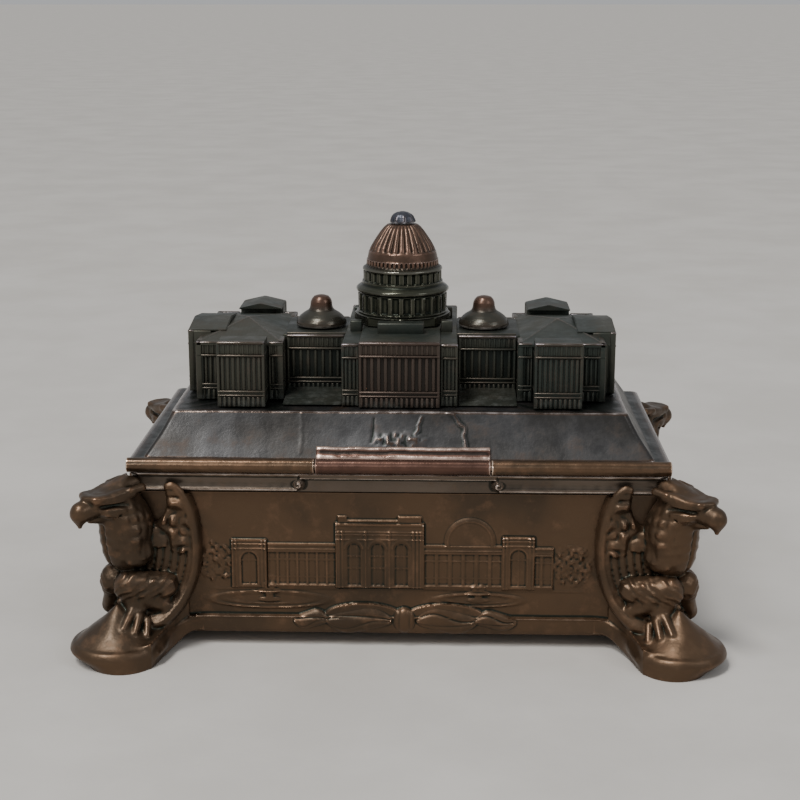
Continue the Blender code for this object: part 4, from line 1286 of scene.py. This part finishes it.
class Blocks:
    """Collects many rounded blocks, and other small closed shapes, into one mesh with a level per point that
    the material reads for hollows, rubbed wear and painted highlight.
    """

    def __init__(self):
        self.points, self.faces, self.wear_and_sheen = [], [], []
        self.count = 0
        lattice = [(i, j, k) for i in range(4) for j in range(4) for k in range(4)
                   if {i, j, k} & {0, 3}]
        self.lattice = np.array(lattice)
        number = {c: n for n, c in enumerate(lattice)}
        self.box_faces = []
        for axis in range(3):
            u, v = (axis + 1) % 3, (axis + 2) % 3
            for level in (0, 3):
                for a in range(3):
                    for b in range(3):
                        quad = []
                        for da, db in ((0, 0), (1, 0), (1, 1), (0, 1)):
                            c = [0, 0, 0]
                            c[axis], c[u], c[v] = level, a + da, b + db
                            quad.append(number[tuple(c)])
                        self.box_faces.append(quad if level else quad[::-1])
        self.box_faces = np.array(self.box_faces)

    def add(self, points, faces, wear_and_sheen):
        self.points.append(np.asarray(points, dtype=float))
        self.faces += [tuple(int(i) + self.count for i in f) for f in faces]
        self.wear_and_sheen.append(np.asarray(wear_and_sheen, dtype=float))
        self.count += len(points)

    def box(self, low, high, bevel, wear_and_sheen):
        """A block whose edges are rounded, and given a higher level than its faces, which paints a light line
        on them: rubbed wear and a painted highlight.
        """
        low, high = np.array(low, dtype=float), np.array(high, dtype=float)
        bevel = min(bevel, 0.45 * float((high - low).min()))
        steps = np.stack([low, low + bevel, high - bevel, high])
        p = steps[self.lattice, np.arange(3)]
        core = np.clip(p, low + bevel, high - bevel)
        offset = p - core
        length = np.linalg.norm(offset, axis=1, keepdims=True)
        pulled = core + offset / np.maximum(length, 1e-9) * bevel
        p = np.where(length > 1e-9, pulled, p)
        edge = (np.abs(offset) > 1e-6).sum(axis=1)
        # Edge points get 0.2 more: a painted highlight line that is partly rubbed wear.
        self.add(p, self.box_faces, wear_and_sheen + np.where(edge >= 2, 0.20, 0.0))

    def on_side(self, side, u0, u1, out0, out1, z0, z1, bevel, wear_and_sheen):
        """A block given by its place along a side and its reach out from the middle."""
        corners = {
            "rear": ((u0, -out1), (u1, -out0)), "front": ((-u1, out0), (-u0, out1)),
            "left": ((-out1, -u1), (-out0, -u0)), "right": ((out0, u0), (out1, u1)),
        }[side]
        (x0, y0), (x1, y1) = corners
        self.box((x0, y0, z0), (x1, y1, z1), bevel, wear_and_sheen)

    def hull(self, points, wear_and_sheen):
        """A convex solid through the points, with slightly broken edges."""
        bm = bmesh.new()
        for p in points:
            bm.verts.new(p)
        result = bmesh.ops.convex_hull(bm, input=bm.verts)
        loose = [g for g in result["geom_interior"] if isinstance(g, bmesh.types.BMVert)]
        bmesh.ops.delete(bm, geom=loose, context="VERTS")
        bmesh.ops.dissolve_limit(bm, angle_limit=0.01, verts=bm.verts, edges=bm.edges)
        bmesh.ops.bevel(bm, geom=list(bm.edges), offset=0.2, segments=2, affect="EDGES")
        bm.verts.index_update()
        out = [tuple(v.co) for v in bm.verts]
        faces = [tuple(v.index for v in f.verts) for f in bm.faces]
        bm.free()
        self.add(out, faces, np.full(len(out), wear_and_sheen + 0.1))

    def mesh(self, name):
        mesh = mesh_from(name, np.concatenate(self.points), self.faces)
        mesh.set_sharp_from_angle(angle=math.radians(50))
        attribute = mesh.attributes.new("wear_and_sheen", "FLOAT", "POINT")
        attribute.data.foreach_set("value", np.concatenate(self.wear_and_sheen).astype(np.float32))
        return mesh


# Heights shared by all the walls, and the plan of one half of the building, which is mirrored in X.
PLINTH_TOP = 63.4
BASE_LINES = ((64.35, 64.85), (63.35, 63.80))
COLUMN_FOOT = 64.8
WALL_DEPTH = 1.6
WING_NEAR, WING_FAR, WING_HALF_Y, WING_TOP = 30.2, 52.8, 21.0, 75.9
PORCH_NEAR, PORCH_FAR, PORCH_HALF_Y, PORCH_TOP = 34.1, 46.3, 29.0, 77.6
END_BLOCK_FAR, END_BLOCK_HALF_Y, END_BLOCK_TOP = 56.2, 12.0, 77.1
CENTRE_HALF_X, SHOULDER_HALF_X, SHOULDER_HALF_Y, SHOULDER_TOP = 10.3, 14.8, 27.0, 76.8
LINK_HALF_Y, LINK_TOP = 13.0, 76.2


def span(sign, a, b):
    """The stretch from a to b on one side of the middle, low end first."""
    return sorted((sign * a, sign * b))


def facade(blocks, side, ends, out, top, columns, dark=0.0):
    """A wall with end piers, a ribbed frieze, a ledge, pilasters, two base lines and a ribbed plinth."""
    u0, u1 = ends
    width = u1 - u0
    pier = min(0.75, width * 0.14)
    # Painted shade: dark lowers every level of a set-back wall, so its edges are duller and its recesses
    # darker.
    level = 0.5 - dark
    back = out - WALL_DEPTH

    def band(inset, sunk, z0, z1, bevel, wear_and_sheen):
        blocks.on_side(side, u0 + inset, u1 - inset, back, out - sunk, z0, z1, bevel, wear_and_sheen)

    for low in (u0, u1 - pier):
        blocks.on_side(side, low, low + pier, back, out - 0.12, BUILDING_FOOT, top - 0.2, 0.25, level)
    # The cornice, the ledge and the base lines sit above the wall's level, which paints a light line along
    # each: rubbed wear and painted highlight.
    band(0.0, 0.0, top - 0.85, top, 0.42, 0.68)
    band(0.2, 0.45, top - 3.3, top - 0.5, 0.1, level - 0.06)
    band(0.05, 0.0, top - 3.95, top - 3.40, 0.22, level + 0.10)
    for z0, z1 in BASE_LINES:
        band(0.05, 0.05, z0, z1, 0.2, level + 0.08)
    band(0.2, 0.40, 63.5, 64.7, 0.1, level - 0.15)
    ribs = max(2, round(width / 1.25))
    for i in range(ribs):
        middle = u0 + width * (i + 0.5) / ribs
        for half, sunk, z0, z1, bevel, wear_and_sheen in (
            (0.32, 0.22, top - 3.3, top - 0.7, 0.2, level),
            (0.38, 0.15, BUILDING_FOOT, 63.2, 0.25, level + 0.03),
        ):
            blocks.on_side(side, middle - half, middle + half, back, out - sunk, z0, z1, bevel, wear_and_sheen)
    band(0.2, 0.55, BUILDING_FOOT, PLINTH_TOP, 0.1, level - 0.2)
    pitch = (width - 2 * pier) / columns
    half = min(0.46, pitch * 0.34)
    for i in range(columns):
        middle = u0 + pier + pitch * (i + 0.5)
        blocks.on_side(side, middle - half, middle + half, back, out - 0.30, COLUMN_FOOT, top - 3.9,
                       half * 0.8, level)
    blocks.on_side(side, u0 + 0.1, u1 - 0.1, out - 2.0, out - 0.72, BUILDING_FOOT, top - 3.3,
                   0.1, level - 0.16)


def gable_section(u0, u1, eave, apex):
    """The five corners of a gable end: its thin wall, and the point over its middle."""
    return [(u0, eave), (u1, eave), (u0, eave + 0.3), (u1, eave + 0.3), ((u0 + u1) / 2, apex)]


def hip_roof(blocks, sign):
    """A shallow pyramid over a wing, scored with fine lines like roofing sheets."""
    eave, apex, underside = 75.55, 78.35, 75.0
    middle = (WING_NEAR + WING_FAR) / 2
    xs = np.linspace(WING_NEAR, WING_FAR, 58)
    ys = np.linspace(-WING_HALF_Y, WING_HALF_Y, 105)
    y, x = np.meshgrid(ys, xs, indexing="ij")
    to_x = np.abs(x - middle) / (WING_FAR - middle)
    to_y = np.abs(y) / WING_HALF_Y
    slope = np.maximum(to_x, to_y)
    z = apex - (apex - eave) * slope
    on_end = to_y > to_x
    fine = np.where(on_end, np.cos(2 * math.pi * x / 0.95), np.cos(2 * math.pi * y / 0.95))
    z = z + 0.045 * fine * smoothstep(0.05, 0.2, slope)
    seams = swell((x - middle) % 3.2 - 1.6, 0.22) + swell(y % 3.6 - 1.8, 0.22)
    z = z + 0.10 * seams * (~on_end) * (x > middle)
    ridge = swell(to_x - to_y, 0.028)
    z = z + 0.16 * ridge
    z = z + 0.06 * value_noise(x, y, 0.0, 3.0, 71)
    rows, columns = x.shape
    top = np.stack([x * sign, y, z], axis=-1).reshape(-1, 3)
    bottom = top.copy()
    bottom[:, 2] = underside
    faces = grid_faces(rows, columns)
    if sign > 0:
        faces = faces[:, ::-1]
    count = rows * columns
    border = ([c for c in range(columns)] + [r * columns + columns - 1 for r in range(1, rows)]
              + [(rows - 1) * columns + c for c in range(columns - 2, -1, -1)]
              + [r * columns for r in range(rows - 2, 0, -1)])
    faces = [tuple(f) for f in faces]
    skirt = [(after, before, before + count, after + count)
             for before, after in zip(border, border[1:] + border[:1])]
    floor_face = tuple(i + count for i in border)
    if sign > 0:
        faces += skirt + [floor_face[::-1]]
    else:
        faces += [f[::-1] for f in skirt] + [floor_face]
    used = sorted(set(border))
    remap = {i + count: count + n for n, i in enumerate(used)}
    faces = [tuple(remap.get(i, i) for i in f) for f in faces]
    points = np.concatenate([top, bottom[used]])
    # The hips are lightened for rubbed wear and a painted highlight, and the level follows the fine ribs,
    # which paints faint shade in their grooves.
    wear_and_sheen = np.concatenate([(0.48 + 0.30 * ridge + 0.05 * fine).reshape(-1), np.full(len(used), 0.4)])
    blocks.add(points, faces, wear_and_sheen)


def wing(blocks, sign):
    """One wing: a core block, walls all round, a porch on both long sides and a block at its outer end."""
    near, far = ("left", "right") if sign < 0 else ("right", "left")
    x0, x1 = span(sign, WING_NEAR, WING_FAR)
    blocks.box((x0 + 1.2, -19.8, BUILDING_FOOT), (x1 - 1.2, 19.8, 75.5), 0.2, 0.3)
    for side, flip in (("rear", 1), ("front", -1)):
        for a, b, columns in ((WING_NEAR, 34.0, 3), (46.4, WING_FAR, 4)):
            facade(blocks, side, span(flip * sign, a, b), WING_HALF_Y, WING_TOP, columns, 0.03)
        facade(blocks, side, span(flip * sign, PORCH_NEAR, PORCH_FAR), PORCH_HALF_Y, PORCH_TOP, 8)
        y0, y1 = span(-flip, 20.0, 28.0)
        for inset, z0, z1, bevel, wear_and_sheen in (
            (0.15, BUILDING_FOOT, 77.3, 0.3, 0.42), (0.0, 73.6, 74.2, 0.2, 0.5), (0.0, 64.3, 64.8, 0.2, 0.5),
        ):
            x0, x1 = span(sign, PORCH_NEAR + inset, PORCH_FAR - inset)
            blocks.box((x0, y0, z0), (x1, y1, z1), bevel, wear_and_sheen)
    for end in (-1, 1):
        facade(blocks, near, span(end, 12.2, WING_HALF_Y), WING_FAR, WING_TOP, 5, 0.03)
    facade(blocks, near, (-END_BLOCK_HALF_Y, END_BLOCK_HALF_Y), END_BLOCK_FAR, END_BLOCK_TOP, 13)
    x0, x1 = span(sign, 50.0, 55.3)
    blocks.box((x0, -11.8, BUILDING_FOOT), (x1, 11.8, 76.9), 0.3, 0.42)
    end_gable = gable_section(-11.6, 11.6, 76.8, 78.6)
    blocks.hull([(x, y, z) for x in (sign * 46.0, sign * 56.1) for y, z in end_gable], 0.45)
    for end in (-1, 1):
        facade(blocks, far, span(end, 13.2, 20.9), -WING_NEAR, WING_TOP, 4, 0.05)
    pediment = gable_section(sign * 34.2, sign * 46.2, 77.3, 79.0)
    blocks.hull([(x, y, z) for y in (16.0, 28.9) for x, z in pediment], 0.48)
    hip_roof(blocks, sign)


def middle_part(blocks):
    """The centre block with its shoulders, the links to the wings, the terraces and the small roof blocks."""
    for half_x, half_y, top, bevel, wear_and_sheen in (
        (31.0, 11.8, 76.1, 0.25, 0.34), (14.7, 25.4, 76.75, 0.35, 0.42), (10.25, 28.0, 77.5, 0.35, 0.46),
    ):
        blocks.box((-half_x, -half_y, BUILDING_FOOT), (half_x, half_y, top), bevel, wear_and_sheen)
    terrace_section = (
        (-12.0, BUILDING_FOOT), (-12.0, 62.2), (-14.4, 62.0),
        (-26.2, BUILDING_FOOT + 0.3), (-26.2, BUILDING_FOOT),
    )
    for side, flip in (("rear", 1), ("front", -1)):
        for sign in (-1, 1):
            link = span(sign, 14.9, 30.1)
            facade(blocks, side, link, LINK_HALF_Y, LINK_TOP, 7, 0.05)
            terrace = [(x, flip * y, z) for x in (link[0] + 0.1, link[1] - 0.1) for y, z in terrace_section]
            blocks.hull(terrace, 0.30)
            shoulder = span(sign, CENTRE_HALF_X + 0.05, SHOULDER_HALF_X)
            facade(blocks, side, shoulder, SHOULDER_HALF_Y, SHOULDER_TOP, 3, 0.02)
        facade(blocks, side, (-CENTRE_HALF_X, CENTRE_HALF_X), PORCH_HALF_Y, PORCH_TOP, 11)
    for end in (-1, 1):
        y0, y1 = span(end, 13.4, 17.3)
        blocks.box((-6.0, y0, 77.2), (6.0, y1, 80.2), 0.35, 0.46)
    for x in (-11.9, 11.9):
        for y in (-9.6, 9.6):
            blocks.box((x - 1.5, y - 1.4, 76.4), (x + 1.5, y + 1.4, 79.6), 0.3, 0.44)
    for sign in (-1, 1):
        x0, x1 = span(sign, 14.0, 30.0)
        blocks.box((x0, -11.9, 76.0), (x1, -11.2, 76.6), 0.2, 0.55)
    peak = gable_section(-10.1, 10.1, 77.3, 79.0)
    blocks.hull([(x, y, z) for y in (18.2, 28.9) for x, z in peak], 0.48)


def building():
    blocks = Blocks()
    for sign in (-1, 1):
        wing(blocks, sign)
    middle_part(blocks)
    mesh = blocks.mesh("building_casting")
    place("building_casting", mesh, DARK_BRONZE, "lid", ["building"])


building()


# ---------------------------------------------------------------- dome, cap and cupolas

def turned(name, profile, columns, shape, centre=(0.0, 0.0)):
    """A turned solid whose radius may also depend on the angle: shape(angle, z, radius)."""
    angle = 2.0 * math.pi * np.arange(columns) / columns
    rings = []
    for radius, z in profile:
        r = shape(angle, z, radius)
        rings.append(np.column_stack([
            centre[0] + r * np.cos(angle), centre[1] + r * np.sin(angle), np.full(columns, z)]))
    points, faces = loft(rings)
    mesh = mesh_from(name, points, faces)
    mesh.set_sharp_from_angle(angle=math.radians(60))
    return mesh


def resample(profile, step):
    """More points along a profile, which keeps its corners."""
    out = []
    for (r0, z0), (r1, z1) in zip(profile, profile[1:]):
        pieces = max(1, int(math.hypot(r1 - r0, z1 - z0) / step))
        out += [(r0 + (r1 - r0) * i / pieces, z0 + (z1 - z0) * i / pieces) for i in range(pieces)]
    return out + [profile[-1]]


def band(z, low, high, soft=0.12):
    """1 between two heights and 0 elsewhere, with soft ends."""
    return float(smoothstep(low - soft, low + soft, z) * smoothstep(high + soft, high - soft, z))


# The stretches of height, low and high, that carry each kind of work on the dome.
OCTAGON = (77.0, 80.1)
COLONNADE = (81.2, 85.5)
ARCHITRAVE = (85.6, 86.1)
GARLAND = (86.2, 86.9)
WINDOWS = (89.0, 91.4)
DENTILS = (93.1, 94.4)
RIBS = (97.0, 103.9)
OCTAGON_REACH = 12.75


def dome_shape(angle, z, radius):
    """Octagonal base, columns, windows, dentils and ribs worked into the turned form."""
    r = np.full_like(angle, radius)
    eighth = (angle / (math.pi / 4)) % 1.0 - 0.5
    octagon = OCTAGON_REACH * math.cos(math.pi / 8) / np.cos(eighth * math.pi / 4)
    r = r + band(z, *OCTAGON, 0.1) * (np.minimum(octagon, 13.0) - radius)
    columns = np.cos(24 * angle)
    shafts = smoothstep(-0.1, 0.55, columns)
    r = r - band(z, *COLONNADE) * (1.0 - shafts) * 0.62
    r = r - band(z, *ARCHITRAVE) * 0.45
    wavy = 0.5 + 0.5 * np.sin(9 * angle + 2.0 * np.sin(2 * angle))
    r = r + band(z, *GARLAND) * (0.12 * wavy - 0.06)
    windows = smoothstep(0.15, 0.6, np.cos(30 * angle))
    r = r - band(z, *WINDOWS) * windows * 0.55
    r = r - band(z, *DENTILS, 0.1) * smoothstep(-0.2, 0.3, np.cos(48 * angle)) * 0.35
    ribs = np.abs(np.cos(14 * angle)) ** 0.8
    amount = band(z, *RIBS, 0.35)
    r = r + amount * (0.55 * ribs - 0.42) * radius / 8.5
    r = r + 0.05 * value_noise(np.cos(angle) * radius, np.sin(angle) * radius, z, 1.8, 81)
    return r


def dome():
    """The turned dome on its drum, from its foot up."""
    z0 = DOME_LOW[2]
    profile = [
        (11.0, z0), (12.9, z0 + 0.05), (13.0, 78.1), (13.0, 79.9), (12.6, 80.15), (12.1, 80.4), (12.15, 80.8),
        (11.8, 81.0), (11.85, 85.6), (12.15, 86.0), (12.35, 86.4), (12.3, 86.9), (11.9, 87.3), (11.0, 87.9),
        (10.75, 88.3), (10.8, 88.7), (10.45, 88.9), (10.45, 91.6), (10.65, 91.9), (10.55, 92.3), (9.9, 92.7),
        (9.65, 93.0), (9.55, 94.5), (9.35, 94.7), (9.25, 95.2), (9.1, 95.9), (8.95, 96.6), (8.6, 97.0),
        (8.15, 98.0), (7.5, 99.2), (6.65, 100.5), (5.75, 101.8), (4.85, 102.9), (4.0, 103.6),
        (3.3, DOME_HIGH[2]), (1.0, DOME_HIGH[2]),
    ]
    mesh = turned("dome", resample(profile, 0.22), 336, dome_shape)
    mark_wear_and_sheen(mesh, 0.07)
    place("dome_casting", mesh, DOME_BRONZE, "lid", ["dome"])


def worn_cap():
    """The small lumpy knob on top of the dome."""
    def shape(angle, z, radius):
        lump = value_noise(np.cos(angle) * radius, np.sin(angle) * radius, z, 1.1, 91)
        return radius * (1.0 + 0.05 * np.cos(9 * angle)) + 0.12 * lump
    profile = [(2.6, CAP_LOW[2]), (3.3, 104.2), (3.35, 104.5), (3.15, 105.1), (2.9, 105.7), (2.3, 106.3),
               (1.5, 106.75), (0.5, CAP_HIGH[2])]
    mesh = turned("worn_cap", resample(profile, 0.15), 90, shape)
    mark_wear_and_sheen(mesh, 0.05)
    place("worn_cap", mesh, PEWTER, "lid", ["dome_cap"])


CUPOLA_X = 21.8


def cupolas():
    """The two bell-shaped cupolas on the links between the centre and the wings."""
    def shape(angle, z, radius):
        wobble = value_noise(np.cos(angle) * radius, np.sin(angle) * radius, z, 2.4, 95)
        return radius + 0.07 * wobble
    for name, sign in (("cupola_left", -1), ("cupola_right", 1)):
        low, high = node_box(name)
        z0 = low[2]
        profile = [
            (6.5, z0), (6.7, z0 + 0.1), (6.75, z0 + 0.5), (6.6, z0 + 1.1), (6.25, z0 + 1.8), (5.65, z0 + 2.5),
            (4.9, z0 + 3.1), (4.1, z0 + 3.6), (3.5, z0 + 4.0), (3.15, z0 + 4.5), (2.95, z0 + 5.2),
            (2.85, z0 + 6.2), (2.5, z0 + 7.0), (1.9, z0 + 7.7), (1.0, high[2] - 0.10), (0.3, high[2]),
        ]
        mesh = turned(name, resample(profile, 0.22), 80, shape, (sign * CUPOLA_X, 0.0))
        mark_wear_and_sheen(mesh, 0.06)
        place(f"{name}_casting", mesh, CUPOLA_BRONZE, "lid", [name])


dome()
worn_cap()
cupolas()


# ---------------------------------------------------------------- floor, light and camera

def floor():
    """A pale plain that runs out of sight."""
    size = 60000.0
    mesh = mesh_from("floor", [(-size, -size, 0), (size, -size, 0), (size, size, 0), (-size, size, 0)],
                     [(0, 1, 2, 3)])
    g = Graph("pale_floor")
    tone = g.mix(g.remap(g.noise(60.0, 5.0, 0.6), 0.3, 0.7), (0.50, 0.48, 0.45), (0.56, 0.54, 0.51))
    g.link(tone, g.shader.inputs["Base Color"])
    g.shader.inputs["Roughness"].default_value = 0.9
    g.bump((g.noise(1.5, 3.0), 0.03))
    obj = bpy.data.objects.new("floor", mesh)
    mesh.materials.append(g.material)
    bpy.context.scene.collection.objects.link(obj)


def area_light(name, location, target, size, watts, colour):
    data = bpy.data.lights.new(name, "AREA")
    data.shape = "RECTANGLE"
    data.size, data.size_y = size
    data.energy = watts
    data.color = colour
    obj = bpy.data.objects.new(name, data)
    obj.location = location
    obj.rotation_euler = (Vector(target) - Vector(location)).to_track_quat("-Z", "Y").to_euler()
    bpy.context.scene.collection.objects.link(obj)


def lights_and_camera():
    """An even studio sky, a broad key, two soft boxes and the camera."""
    world = bpy.data.worlds.new("studio")
    world.use_nodes = True
    background = world.node_tree.nodes["Background"]
    background.inputs["Color"].default_value = (0.82, 0.83, 0.85, 1.0)
    background.inputs["Strength"].default_value = 0.55
    bpy.context.scene.world = world
    middle = (0.0, 0.0, 0.04)
    sun = bpy.data.lights.new("key", "SUN")
    sun.energy = 1.7
    sun.angle = math.radians(14.0)
    sun.color = (1.0, 0.98, 0.95)
    key = bpy.data.objects.new("key", sun)
    key.rotation_euler = Vector((0.30, 0.34, -1.0)).to_track_quat("-Z", "Y").to_euler()
    bpy.context.scene.collection.objects.link(key)
    area_light("window", (-0.45, -0.60, 0.80), middle, (0.30, 0.30), 4.0, (1.0, 0.98, 0.96))
    area_light("fill", (0.9, -0.6, 0.8), middle, (0.5, 0.5), 2.0, (0.95, 0.97, 1.0))
    data = bpy.data.cameras.new("camera")
    data.sensor_width = 36.0
    data.lens = 72.0
    data.clip_start = 0.01
    camera = bpy.data.objects.new("camera", data)
    camera.location = (0.01215, -0.42233, 0.1612)
    camera.rotation_euler = (math.radians(75.96), 0.0, math.radians(1.74))
    bpy.context.scene.collection.objects.link(camera)
    bpy.context.scene.camera = camera


floor()
lights_and_camera()
